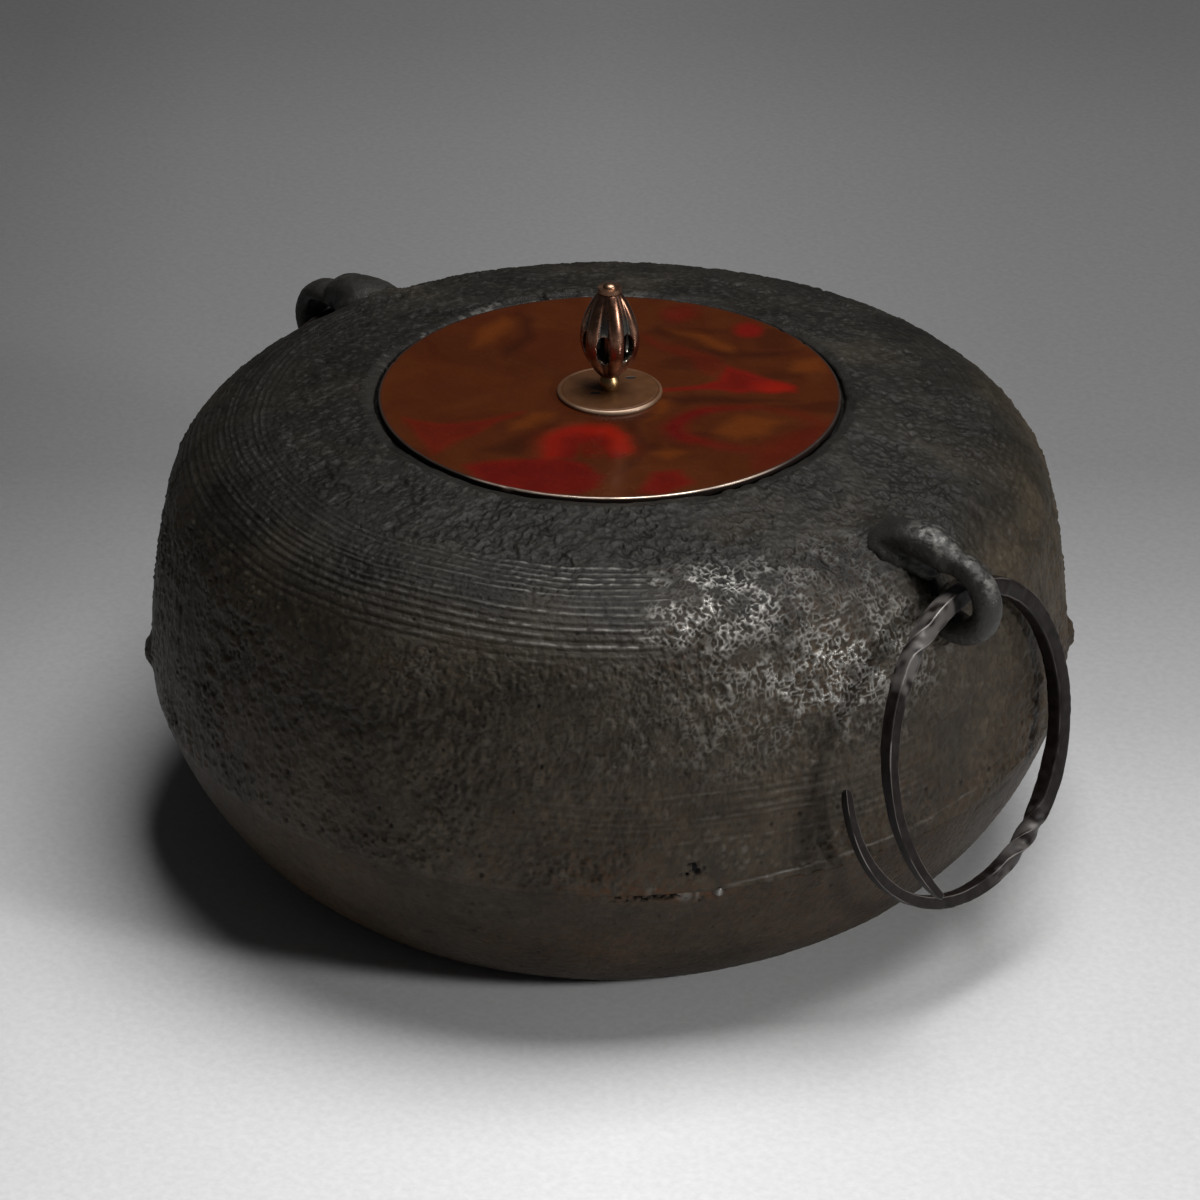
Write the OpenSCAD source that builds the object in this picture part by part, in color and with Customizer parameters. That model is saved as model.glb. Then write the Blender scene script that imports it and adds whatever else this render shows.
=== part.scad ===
// Chagama: a Japanese cast-iron tea-ceremony kettle with a copper lid, a pierced bud
// knob and two open forged rings. Millimetres, +Z up, origin at the centre of the base.
// The front lug and ring lie on +X, the rear pair opposite, a few degrees off -X.

/* [Kettle body] */
// Diameter of the body at the belly
body_d = 260; // [246:1:280]
// Height of the widest point of the belly
belly_z = 54.5; // [50:0.5:60]
// Radius of the long upright curve of the wall
wall_curve_r = 214; // [200:1:230]
// Radius of the round shoulder
shoulder_r = 30; // [26:0.5:34]
// Fall of the top from the mouth to the shoulder, in degrees
top_slope = 10.4; // [8:0.1:13]
// Height of the mouth rim
rim_z = 132.6; // [128:0.1:140]
// Thickness of the cast wall
wall_t = 3.2; // [2.6:0.1:4]

/* [Mouth] */
// Width of the raised rim round the lid
rim_w = 2.7; // [2:0.1:4]
// Depth of the lid seat below the rim
seat_depth = 1.7; // [1:0.1:3]
// Width of the ledge that carries the lid
seat_w = 7.4; // [5:0.1:10]
// Thickness of the iron under the lid seat
mouth_t = 4.6; // [4:0.1:6]

/* [Bottom pan] */
// Diameter of the flat underside
base_d = 186; // [170:1:196]
// Height of the joint between the pan and the shell
seam_z = 50; // [46:0.5:54]
// Step of the pan in from the shell at the joint
seam_step = 0.4; // [0.1:0.1:1.5]
// Radius where the two slopes of the bowl would meet
bowl_knee_r = 119.2; // [114:0.2:122]
// Height where the two slopes of the bowl would meet
bowl_knee_z = 14.8; // [11:0.2:19]
// Thickness of the pan
bottom_t = 4; // [3.2:0.1:6]
// Height of the lip that laps inside the shell
lap_h = 8; // [5:0.5:12]
// Thickness of that lip
lap_t = 2.6; // [2:0.1:4]
// Gap between the lip and the shell
lap_gap = 0.5; // [0.3:0.1:1]
// Thickness of the lacquer putty in the joint
putty_t = 0.8; // [0.4:0.1:1.5]

/* [Singing irons] */
// Number of the small irons glued to the floor
iron_count = 5; // [3:1:7]
// Length of one iron
iron_l = 17; // [12:0.5:20]
// Width of one iron
iron_w = 9; // [6:0.5:12]
// Thickness of one iron
iron_t = 1.8; // [1:0.1:3]
// Distance of the irons from the centre
iron_r = 36; // [30:1:50]

/* [Lugs] */
// Place of the front eye round the shoulder, in degrees above the horizontal
front_eye_angle = 33.5; // [30:0.1:37]
// Place of the rear eye round the shoulder, in degrees above the horizontal
rear_eye_angle = 21.5; // [18:0.1:28]
// Turn of the rear lug away from straight opposite the front one, in degrees
rear_turn = 6; // [0:0.1:8]
// Height of the front eye's centre above the shoulder
front_eye_stand = 8.4; // [7.6:0.1:9.4]
// Height of the rear eye's centre above the shoulder
rear_eye_stand = 7.4; // [7:0.1:8.4]
// Diameter of an eye
eye_d = 12.4; // [12.2:0.1:13]
// Thickness of the arch round the eye
arch_bar = 8.8; // [8:0.1:10]
// Radius of the arch at the middle of its thickness
arch_r = 9.6; // [9.2:0.1:10.4]
// How far the arch sits below its eye, along the shoulder
arch_drop = 2.4; // [1.8:0.1:3]
// Radius of the ridge where it leaves the arch
ridge_r = 6.2; // [5.4:0.1:6.6]
// Height of that end of the front ridge above the shoulder
front_ridge_stand = 12.6; // [11.6:0.1:13.4]
// Height of that end of the rear ridge above the shoulder
rear_ridge_stand = 8.8; // [8:0.1:10]
// Radius of the ridge where it sinks into the shoulder
root_r = 4.4; // [3.8:0.1:5]
// Angle between the eye and the end of the ridge, round the shoulder
ridge_reach = 39.5; // [36:0.5:42]

/* [Rings] */
// Radius of a ring at the middle of its bar
ring_r = 43.4; // [40:0.1:47]
// Side of the square bar at its thickest
ring_bar = 6.1; // [5.4:0.1:6.3]
// How far the end of the short limb stands out from the ring's plane
lap_out = 13.4; // [10:0.1:16]
// How far the long limb lies in from the ring's plane
lap_in = 7.4; // [5:0.1:7.6]
// Angle between the end of the short limb and the ring's lowest point
lap_start = 52; // [20:1:70]
// Length of the lap of the two limbs, in degrees
lap_angle = 43; // [20:1:60]
// Room that a ring keeps in its eye
ring_clear = 0.3; // [0.25:0.05:0.4]
// Distance of a ring's plane from the belly at rest
ring_rest_gap = 5.4; // [5.2:0.1:8]

/* [Lid] */
// Diameter of the lid
lid_d = 128.8; // [120:0.2:134]
// Thickness of the lid plate
lid_t = 2.3; // [1.8:0.1:3]
// Gap between the lid and the rim
lid_gap = 1.8; // [1:0.1:3]
// Radius of the rounded upper edge of the lid
lid_edge = 0.9; // [0.4:0.1:1.2]
// Height of the flange under the lid
flange_h = 9; // [6:0.5:12]
// Thickness of the flange
flange_t = 2; // [1.5:0.1:3]
// Gap between the flange and the mouth
flange_gap = 1.5; // [1:0.1:3]

/* [Knob] */
// Diameter of the washer under the knob
washer_d = 29.4; // [24:0.2:34]
// Thickness of that washer
washer_t = 1.2; // [0.8:0.1:2]
// Diameter of the bead that the bud stands on
foot_d = 5.8; // [5:0.1:7]
// Height of the bead
foot_h = 4.1; // [3:0.1:6]
// Largest diameter of the bud
bud_d = 16.8; // [15:0.1:20]
// Height of the bud
bud_h = 25.6; // [20:0.1:30]
// Number of lobes round the bud
bud_lobes = 6; // [5:1:8]
// Depth of the grooves between the lobes
bud_groove = 1.6; // [0.6:0.1:2]
// Thickness of the bud's wall in the grooves
bud_wall = 1.1; // [0.8:0.1:1.4]
// Width of one piercing
piercing_w = 3.8; // [2:0.1:4]
// Height of one piercing
piercing_h = 8.2; // [5:0.1:9]
// Diameter of the cap on the bud
cap_d = 6.6; // [5:0.1:7.4]
// Thickness of the cap
cap_t = 1.3; // [0.8:0.1:2]
// Diameter of the rivet's stem
rivet_d = 2.8; // [2:0.1:3]
// Diameter of the rivet's domed head
rivet_head_d = 3.8; // [3.4:0.1:5]
// Height of the rivet's domed head
rivet_head_h = 1.1; // [0.8:0.1:3]
// Diameter of the peened tail under the lid
rivet_tail_d = 5; // [4.4:0.1:6]
// Thickness of the peened tail
rivet_tail_t = 1.2; // [0.8:0.1:2]
// Diameter of the washer under the lid
under_washer_d = 17; // [12:0.5:22]
// Thickness of the washer under the lid
under_washer_t = 1; // [0.6:0.1:1.5]
// Running clearance of the rivet in the lid and its washers
rivet_clear = 0.06; // [0.03:0.01:0.1]

/* [Hidden] */
$fn = 96;

iron_colour = [0.30, 0.28, 0.26];
pan_colour = [0.36, 0.31, 0.28];
putty_colour = [0.12, 0.10, 0.09];
forged_colour = [0.36, 0.31, 0.29];
lid_colour = [0.50, 0.16, 0.08];
copper_colour = [0.42, 0.22, 0.16];
brass_colour = [0.62, 0.46, 0.20];

// How far a cutting shape runs past the faces that it cuts
cut_over = 1;

// Steps along the curves of the profile
arc_steps = 14;
bowl_steps = 12;

// Profile of the shell: two arcs and the sloping top, all tangent to each other
body_r = body_d / 2;
lid_r = lid_d / 2;
recess_r = lid_r + lid_gap;
rim_r = recess_r + rim_w;
seat_z = rim_z - seat_depth;
mouth_r = lid_r - seat_w;
mouth_under_z = seat_z - mouth_t;
wall_centre = [body_r - wall_curve_r, belly_z];
top_dir = [cos(top_slope), -sin(top_slope)];
top_inward = [-sin(top_slope), -cos(top_slope)];
shoulder_line = [rim_r, rim_z] + shoulder_r * top_inward - wall_centre;
shoulder_along = -shoulder_line * top_dir
    + sqrt(pow(shoulder_line * top_dir, 2) - shoulder_line * shoulder_line
        + pow(wall_curve_r - shoulder_r, 2));
shoulder_centre = wall_centre + shoulder_line + shoulder_along * top_dir;
shoulder_from = atan2(shoulder_centre[1] - wall_centre[1], shoulder_centre[0] - wall_centre[0]);
shoulder_to = 90 - top_slope;
shell_foot_z = seam_z + putty_t;

function along_arc(centre, r, from, to) = [
    for (i = [0 : arc_steps])
        let (a = from + (to - from) * i / arc_steps)
        centre + r * [cos(a), sin(a)]
];

// The shell's surface, moved inwards by depth, from its foot to the top slope
function shell_side(depth) = concat(
    along_arc(wall_centre, wall_curve_r - depth,
        asin((shell_foot_z - belly_z) / (wall_curve_r - depth)), shoulder_from),
    along_arc(shoulder_centre, shoulder_r - depth, shoulder_from, shoulder_to)
);

// Radius of the shell's wall at a height below the shoulder
function wall_at(z, depth) =
    wall_centre[0] + sqrt(pow(wall_curve_r - depth, 2) - pow(z - belly_z, 2));

// Radius at which the underside of the top meets the flat under the mouth
top_under = [rim_r, rim_z] + wall_t * top_inward;
mouth_under_r = top_under[0] + (top_under[1] - mouth_under_z) / tan(top_slope);

// Bottom pan
base_r = base_d / 2;
pan_r = wall_at(shell_foot_z, 0) - seam_step;
lip_r = min(wall_at(shell_foot_z, wall_t), wall_at(seam_z + lap_h, wall_t)) - lap_gap;
lip_in_r = lip_r - lap_t;
// Height of the slope from the pan's wall to the lip
lip_rise = 4;
// How far the pan's inner floor stops short of its underside's edge
floor_in = 3;

function bezier(a, b, c) = [
    for (i = [0 : bowl_steps])
        let (t = i / bowl_steps)
        (1 - t) * (1 - t) * a + 2 * t * (1 - t) * b + t * t * c
];
bowl_out = bezier([base_r, 0], [bowl_knee_r, bowl_knee_z], [pan_r, seam_z]);
bowl_in = bezier(
    [base_r - floor_in, bottom_t],
    [bowl_knee_r - wall_t, bowl_knee_z + bottom_t],
    [lip_in_r, seam_z - lip_rise]);

// Turn of one singing iron against the next
iron_twist = 67;
// Share of an iron's width by which its far end narrows
iron_taper = 0.25;

// Lug: an arch round its eye and a ridge from its top to the shoulder
eye_r = eye_d / 2;
// Ends of the arch, in degrees from straight out of the shoulder
arch_tip = -146;
arch_top = 76;
// Angle between the eye and the near end of the ridge, round the shoulder
ridge_start = 14.2;
lug_half_w = max(arch_bar / 2, ridge_r);
eye_bore_l = 2 * (lug_half_w + cut_over);

// A point at an angle round the shoulder and a height above it
function over_shoulder(angle, height) =
    shoulder_centre + (shoulder_r + height) * [cos(angle), sin(angle)];

// Each lug's eye angle, eye height, ridge height and turn about the kettle's axis
front_site = [front_eye_angle, front_eye_stand, front_ridge_stand, 0];
rear_site = [rear_eye_angle, rear_eye_stand, rear_ridge_stand, 180 - rear_turn];
function eye_at(site) = over_shoulder(site[0], site[1]);

// Ring: hangs from its eye and leans out just far enough to clear the belly
ring_side = [0, 1, 0];
// Corner cut of the bar, as a share of its half side
bar_chamfer = 0.4;
bar_half = ring_bar / 2;
bar_reach = bar_half * norm([1, 1 - bar_chamfer]);
eye_sag = lug_half_w * lug_half_w / (2 * ring_r);
// Room for the slant of the bar through the eye
eye_slant = 0.2;
ring_seat = eye_r - bar_reach - eye_sag - eye_slant - ring_clear;
// Angles round the ring, from its lowest point by the -Y side
at_eye = 180;
ring_end = 360 + lap_start + lap_angle;
ring_steps = 76;
// Half the angle over which the bar's direction is taken
heading_step = 0.5;
// Angle past the eye over which the long limb moves in
lap_run = 100;
// Thickness of the bar along the ring, as a share of its side
bar_taper = [
    [lap_start, 0.3], [lap_start + 10, 0.56], [100, 0.7], [140, 0.9], [165, 1], [310, 1],
    [345, 0.76], [ring_end - 50, 0.58], [ring_end - 4, 0.44], [ring_end, 0.3]
];
// Two places where the bar is twisted by a quarter turn
first_twist = [138, 164];
second_twist = [312, 344];

function ease(x) = let (t = max(0, min(1, x))) t * t * (3 - 2 * t);
function unit(v) = v / norm(v);
function bar_twist(a) = 90 * (
    ease((a - first_twist[0]) / (first_twist[1] - first_twist[0]))
    + ease((a - second_twist[0]) / (second_twist[1] - second_twist[0])));
function lap_shift(a) = a < at_eye
    ? -lap_out * (at_eye - a) / (at_eye - lap_start)
    : lap_in * (1 - pow(max(0, 1 - (a - at_eye) / lap_run), 2));
function lean_at(site) =
    let (reach = eye_at(site) - wall_centre)
    atan2(reach[1], reach[0]) - 90 + asin((wall_curve_r + ring_rest_gap) / norm(reach));

// A ring's centre, the way down its plane and the way in from it, for one eye
function ring_frame(site) =
    let (eye = eye_at(site))
    let (lean = lean_at(site))
    let (down = [sin(lean), 0, -cos(lean)])
    [[eye[0], 0, eye[1]] + (ring_seat + ring_r) * down, down, cross(ring_side, down)];
function ring_out(a, frame) = cos(a) * frame[1] - sin(a) * ring_side;
function ring_point(a, frame) =
    frame[0] + ring_r * ring_out(a, frame) + lap_shift(a) * frame[2];

bar_section = let (cut = 1 - bar_chamfer) [
    [1, -cut], [1, cut], [cut, 1], [-cut, 1], [-1, cut], [-1, -cut], [-cut, -1], [cut, -1]
];
bar_sides = len(bar_section);

// Corners of the bar's section at one angle round the ring
function ring_section(a, frame) =
    let (ahead = ring_point(a + heading_step, frame))
    let (along = unit(ahead - ring_point(a - heading_step, frame)))
    let (across = unit(cross(along, ring_out(a, frame))))
    let (out = cross(across, along))
    let (half = bar_half * lookup(a, bar_taper))
    let (turn = bar_twist(a))
    [for (p = bar_section)
        ring_point(a, frame)
            + half * (p[0] * cos(turn) - p[1] * sin(turn)) * out
            + half * (p[0] * sin(turn) + p[1] * cos(turn)) * across];

// Triangles of a tube of given rings and sides, with both ends closed
function tube_faces(rings, sides) = concat(
    [for (i = [0 : rings - 2], j = [0 : sides - 1], h = [0, 1])
        let (k = (j + 1) % sides)
        h == 0
            ? [i * sides + j, (i + 1) * sides + j, i * sides + k]
            : [i * sides + k, (i + 1) * sides + j, (i + 1) * sides + k]],
    [for (j = [1 : sides - 2]) [0, j, j + 1]],
    [for (j = [1 : sides - 2])
        let (last = (rings - 1) * sides)
        [last, last + j + 1, last + j]]
);

// Lid and knob stack, from the lid's underside upwards
lid_top_z = seat_z + lid_t;
flange_r = mouth_r - flange_gap;
rivet_r = rivet_d / 2;
rivet_hole_r = rivet_r + rivet_clear;
foot_z = lid_top_z + washer_t;
bud_z = foot_z + foot_h;
cap_z = bud_z + bud_h;
head_z = cap_z + cap_t;
tail_z = seat_z - under_washer_t - rivet_tail_t;
// Swell of the bead beyond its two flat ends
foot_bulge = 0.7;
foot_end_r = foot_d / 2 - foot_bulge;
// Bevel round the washer's upper edge
washer_bevel = 0.7;

// Bud: radius of the lobes' crests along its height
bud_steps = 16;
lobe_steps = 8;
bud_around = lobe_steps * bud_lobes;
bud_foot_r = 2.2;
bud_tip_r = 2.8;
bud_fullness = 0.78;
bud_widest = 0.44;
// How soon the grooves fade towards the two ends
groove_fade = 1.2;
function bud_rise(t) = t < bud_widest
    ? 0.5 * t / bud_widest
    : 0.5 + 0.5 * (t - bud_widest) / (1 - bud_widest);
function bud_crest(t) =
    let (foot = bud_foot_r + (bud_tip_r - bud_foot_r) * t)
    foot + (bud_d / 2 - foot) * pow(sin(180 * bud_rise(t)), bud_fullness);
// Depth of the grooves along the height, none at the two ends
function bud_depth(t) = bud_groove * pow(sin(180 * bud_rise(t)), groove_fade);
function bud_radius(t, a) = bud_crest(t) - bud_depth(t) * (1 - abs(sin(bud_lobes * a / 2)));
bud_hollow_from = 0.1;
bud_hollow_to = 0.86;
bud_hollow = [
    for (i = [0 : bud_steps])
        let (t = bud_hollow_from + (bud_hollow_to - bud_hollow_from) * i / bud_steps)
        [max(rivet_hole_r, bud_crest(t) - bud_depth(t) - bud_wall), bud_z + t * bud_h]
];
// Middle of the piercings, as a share of the bud's height
piercing_at = 0.4;

module upper_shell() {
    outer = shell_side(0);
    inner = shell_side(wall_t);
    color(iron_colour)
        rotate_extrude()
            polygon(concat(
                outer,
                [[rim_r, rim_z], [recess_r, rim_z], [recess_r, seat_z], [mouth_r, seat_z],
                    [mouth_r, mouth_under_z], [mouth_under_r, mouth_under_z]],
                [for (i = [len(inner) - 1 : -1 : 0]) inner[i]]
            ));
}

module bottom_pan() {
    color(pan_colour)
        rotate_extrude()
            polygon(concat(
                [[0, 0]],
                bowl_out,
                [[lip_r, seam_z], [lip_r, seam_z + lap_h], [lip_in_r, seam_z + lap_h]],
                [for (i = [len(bowl_in) - 1 : -1 : 0]) bowl_in[i]],
                [[0, bottom_t]]
            ));
}

module joint_putty() {
    color(putty_colour)
        translate([0, 0, seam_z])
            difference() {
                cylinder(h = putty_t, r = pan_r);
                translate([0, 0, -cut_over])
                    cylinder(h = putty_t + 2 * cut_over, r = lip_r);
            }
}

module singing_irons() {
    tip_half = iron_w / 2 * (1 - iron_taper);
    color(iron_colour)
        for (i = [0 : iron_count - 1])
            rotate([0, 0, 360 * i / iron_count])
                translate([iron_r, 0, bottom_t])
                    rotate([0, 0, iron_twist * i])
                        linear_extrude(iron_t)
                            polygon([
                                [-iron_l / 2, -iron_w / 2], [iron_l / 2, -tip_half],
                                [iron_l / 2, tip_half], [-iron_l / 2, iron_w / 2]
                            ]);
}

// Everything inside the shell's outer surface, which the lugs sit on
module shell_core() {
    outer = shell_side(0);
    rotate_extrude()
        polygon(concat(
            [[0, shell_foot_z]],
            outer,
            [[rim_r, rim_z], [0, rim_z]]
        ));
}

// Places what is drawn with x outwards and y upwards on the plane of a lug
module in_lug_plane(at) {
    translate([at[0], 0, at[1]])
        rotate([90, 0, 0])
            children();
}

module lug(site) {
    angle = site[0];
    eye = eye_at(site);
    arch_at = eye + arch_drop * [sin(angle), -cos(angle)];
    ridge_at = over_shoulder(angle + ridge_start, site[2]);
    root = over_shoulder(angle + ridge_reach, 0) - ridge_at;
    rotate([0, 0, site[3]])
    difference() {
        union() {
            in_lug_plane(arch_at)
                rotate([0, 0, angle + arch_tip])
                    rotate_extrude(angle = arch_top - arch_tip)
                        translate([arch_r, 0])
                            circle(d = arch_bar);
            in_lug_plane(ridge_at)
                rotate([0, 0, atan2(root[1], root[0])])
                    rotate([0, 90, 0])
                        rotate_extrude()
                            polygon(concat(
                                along_arc([0, 0], ridge_r, -90, 0),
                                [[root_r, norm(root)], [0, norm(root)]]
                            ));
        }
        in_lug_plane(eye)
            cylinder(h = eye_bore_l, r = eye_r, center = true);
        shell_core();
    }
}

module ring(site) {
    frame = ring_frame(site);
    step = (ring_end - lap_start) / ring_steps;
    rotate([0, 0, site[3]])
        polyhedron(
            points = [
                for (i = [0 : ring_steps], p = ring_section(lap_start + step * i, frame)) p
            ],
            faces = tube_faces(ring_steps + 1, bar_sides),
            convexity = 10);
}

module front_lug() {
    color(iron_colour)
        lug(front_site);
}

module rear_lug() {
    color(iron_colour)
        lug(rear_site);
}

module front_ring() {
    color(forged_colour)
        ring(front_site);
}

module rear_ring() {
    color(forged_colour)
        ring(rear_site);
}

module lid_plate() {
    edge = along_arc([lid_r - lid_edge, lid_top_z - lid_edge], lid_edge, 0, 90);
    color(lid_colour)
        rotate_extrude()
            polygon(concat(
                [[rivet_hole_r, seat_z], [lid_r, seat_z]],
                edge,
                [[rivet_hole_r, lid_top_z]]
            ));
}

module lid_flange() {
    color(lid_colour)
        translate([0, 0, seat_z - flange_h])
            difference() {
                cylinder(h = flange_h, r = flange_r);
                translate([0, 0, -cut_over])
                    cylinder(h = flange_h + 2 * cut_over, r = flange_r - flange_t);
            }
}

module knob_washer() {
    washer_r = washer_d / 2;
    color(copper_colour)
        rotate_extrude()
            polygon([
                [rivet_hole_r, lid_top_z], [washer_r, lid_top_z],
                [washer_r, foot_z - washer_bevel], [washer_r - washer_bevel, foot_z],
                [rivet_hole_r, foot_z]
            ]);
}

module under_washer() {
    color(copper_colour)
        translate([0, 0, seat_z - under_washer_t])
            difference() {
                cylinder(h = under_washer_t, d = under_washer_d);
                translate([0, 0, -cut_over])
                    cylinder(h = under_washer_t + 2 * cut_over, r = rivet_hole_r);
            }
}

module knob_foot() {
    side = [for (i = [0 : arc_steps])
        let (t = i / arc_steps)
        [foot_end_r + foot_bulge * sin(180 * t), foot_z + foot_h * t]];
    color(brass_colour)
        rotate_extrude()
            polygon(concat([[rivet_hole_r, foot_z]], side, [[rivet_hole_r, bud_z]]));
}

module knob_bud() {
    points = [
        for (i = [0 : bud_steps], j = [0 : bud_around - 1])
            let (t = i / bud_steps)
            let (a = 360 * j / bud_around)
            let (r = bud_radius(t, a))
            [r * cos(a), r * sin(a), bud_z + t * bud_h]
    ];
    slot = piercing_h - piercing_w;
    color(copper_colour)
        difference() {
            polyhedron(points, tube_faces(bud_steps + 1, bud_around), convexity = 4);
            rotate_extrude()
                polygon(concat(
                    [[0, bud_hollow[0][1]]], bud_hollow, [[0, bud_hollow[bud_steps][1]]]
                ));
            translate([0, 0, bud_z - cut_over])
                cylinder(h = bud_h + 2 * cut_over, r = rivet_hole_r);
            for (i = [0 : bud_lobes - 1])
                rotate([0, 0, 360 * i / bud_lobes])
                    translate([0, 0, bud_z + piercing_at * bud_h])
                        rotate([90, 0, 90])
                            linear_extrude(bud_d) {
                                translate([0, slot / 2])
                                    circle(d = piercing_w);
                                translate([0, -slot / 2])
                                    circle(d = piercing_w);
                                square([piercing_w, slot], center = true);
                            }
        }
}

module knob_cap() {
    color(copper_colour)
        translate([0, 0, cap_z])
            difference() {
                cylinder(h = cap_t, d = cap_d);
                translate([0, 0, -cut_over])
                    cylinder(h = cap_t + 2 * cut_over, r = rivet_hole_r);
            }
}

module knob_rivet() {
    head_r = rivet_head_d / 2;
    dome = [for (i = [0 : arc_steps])
        let (a = 90 * i / arc_steps)
        [head_r * cos(a), head_z + rivet_head_h * sin(a)]];
    color(copper_colour)
        rotate_extrude()
            polygon(concat(
                [[0, tail_z], [rivet_tail_d / 2, tail_z],
                    [rivet_tail_d / 2, tail_z + rivet_tail_t],
                    [rivet_r, tail_z + rivet_tail_t], [rivet_r, head_z]],
                dome
            ));
}

upper_shell();
bottom_pan();
joint_putty();
singing_irons();
front_lug();
rear_lug();
front_ring();
rear_ring();
lid_plate();
lid_flange();
knob_washer();
under_washer();
knob_foot();
knob_bud();
knob_cap();
knob_rivet();
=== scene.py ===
"""Looks of the chagama kettle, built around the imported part, in metres and in its frame.

Shapes are worked out in millimetres and scaled when a mesh is made.
"""
import itertools
import math

import bpy
import numpy as np
from mathutils import Matrix, Vector


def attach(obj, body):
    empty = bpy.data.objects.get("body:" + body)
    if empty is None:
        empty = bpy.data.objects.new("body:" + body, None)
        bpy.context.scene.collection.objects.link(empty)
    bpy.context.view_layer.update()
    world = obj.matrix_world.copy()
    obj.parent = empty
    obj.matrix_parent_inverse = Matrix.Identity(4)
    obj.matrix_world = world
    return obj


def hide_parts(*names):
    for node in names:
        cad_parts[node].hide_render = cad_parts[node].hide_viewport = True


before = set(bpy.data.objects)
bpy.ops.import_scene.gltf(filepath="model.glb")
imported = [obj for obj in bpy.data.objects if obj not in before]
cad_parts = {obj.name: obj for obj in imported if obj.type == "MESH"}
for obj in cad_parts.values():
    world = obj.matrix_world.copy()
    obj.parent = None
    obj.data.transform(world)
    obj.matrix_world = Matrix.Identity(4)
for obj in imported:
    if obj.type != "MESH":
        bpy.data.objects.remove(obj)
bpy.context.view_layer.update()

MM = 0.001
# How far round the kettle the photograph's camera stands
VIEW = math.radians(44.2)
scene = bpy.context.scene
scene.view_settings.view_transform = "Standard"


# Smooth numbers that look random, the same on every run

def hashed(i, j, k, seed):
    """A number from 0 to 1 for each cell; the large factors only scatter the bits."""
    h = (i * 374761393 + j * 668265263 + k * 1274126177 + seed * 974711) & 0xFFFFFFFF
    h = ((h ^ (h >> 13)) * 1103515245) & 0xFFFFFFFF
    h = ((h ^ (h >> 16)) * 668265263) & 0xFFFFFFFF
    return ((h ^ (h >> 15)) & 0xFFFF) / 65535.0


def noise(p, size, seed):
    """Smooth noise from -1 to 1 at points p, with features of the given size."""
    q = p / size
    f = np.floor(q).astype(np.int64)
    t = q - f
    t = t * t * t * (t * (t * 6 - 15) + 10)
    total = np.zeros(len(p))
    for corner in itertools.product((0, 1), repeat=3):
        x, y, z = np.where(corner, t, 1 - t).T
        total += x * y * z * hashed(*(f + corner).T, seed)
    return 2 * total - 1


def nearest_cell(p, size, seed):
    """Distance to the nearest of points scattered one a cell, in cells, and that point's number."""
    q = p / size
    f = np.floor(q).astype(np.int64)
    best = np.full(len(p), 9.0)
    mark = np.zeros(len(p))
    for step in itertools.product((-1, 0, 1), repeat=3):
        cell = (f + step).T
        d = np.sqrt(sum((cell[n] + hashed(*cell, seed + n) - q[:, n]) ** 2 for n in range(3)))
        near = d < best
        best = np.where(near, d, best)
        mark = np.where(near, hashed(*cell, seed + 3), mark)
    return best, mark


def ramp(x, a, b):
    """0 up to a, 1 from b on, and a smooth rise between."""
    t = np.clip((x - a) / (b - a), 0, 1)
    return t * t * (3 - 2 * t)


def window(x, a, b, soft):
    """1 from a to b and 0 outside, with soft ends."""
    return ramp(x, a - soft, a + soft) * (1 - ramp(x, b - soft, b + soft))


def hump(x, middle, width):
    return np.exp(-((x - middle) / width) ** 2)


def tent(x, half):
    """1 where x crosses zero, falling to 0 at half on either side."""
    return np.clip(1 - np.abs(x) / half, 0, 1)


# Meshes

def add_mesh(name, points, faces, masks=None):
    """A smooth mesh object from points in millimetres, with named numbers on its points."""
    mesh = bpy.data.meshes.new(name)
    mesh.from_pydata((np.asarray(points, float) * MM).tolist(), [], faces)
    mesh.update()
    mesh.polygons.foreach_set("use_smooth", np.ones(len(mesh.polygons), bool))
    obj = bpy.data.objects.new(name, mesh)
    scene.collection.objects.link(obj)
    add_masks(obj, masks or {})
    return obj


def add_masks(obj, masks):
    for key, values in masks.items():
        layer = obj.data.attributes.new(key, "FLOAT", "POINT")
        layer.data.foreach_set("value", np.clip(np.asarray(values, np.float32), 0, 1))


def points_of(mesh, what="co"):
    found = np.zeros(len(mesh.vertices) * 3)
    mesh.vertices.foreach_get(what, found)
    return found.reshape(-1, 3)


def grid_faces(rows, turns, close_rows=False, capped=False):
    """Quads of a grid that closes along its turns and, if asked, along its rows or with end caps."""
    i = np.arange(rows if close_rows else rows - 1)[:, None]
    j = np.arange(turns)[None, :]
    up = (i + 1) % rows
    k = (j + 1) % turns
    quads = np.stack([i * turns + j, i * turns + k, up * turns + k, up * turns + j], -1)
    faces = quads.reshape(-1, 4).tolist()
    if capped:
        faces.append(list(range(turns))[::-1])
        faces.append(list(range((rows - 1) * turns, rows * turns)))
    return faces


def lay_out(obj, t, first, share):
    """A flat map of a turned piece in two strips, for textures, whose first rows get a share of it."""
    half = t.turns // 2
    rows = np.arange(t.rows)
    along = np.where(rows < first, share * rows / first,
                     share + (1 - share) * (rows - first) / (t.rows - first))
    i, j = np.meshgrid(rows, np.arange(t.turns), indexing="ij")
    low = along[i]
    high = np.r_[along, 1.0][i + 1]
    strip = (j >= half) * 0.5
    left = (j - np.where(j >= half, half, 0)) / half
    right = left + 1 / half
    uv = np.stack([left, strip + low / 2, right, strip + low / 2,
                   right, strip + high / 2, left, strip + high / 2], -1)
    uv = uv.reshape(-1, 2) * 0.998 + 0.001
    layer = obj.data.uv_layers.new(name="OFBake")
    layer.data.foreach_set("uv", uv.ravel().astype(np.float32))


def place(obj, body, material, slot, *nodes):
    """Hangs a finished piece on its body, in place of its nodes."""
    obj.data.materials.clear()
    obj.data.materials.append(material)
    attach(obj, body)
    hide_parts(*nodes)


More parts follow.
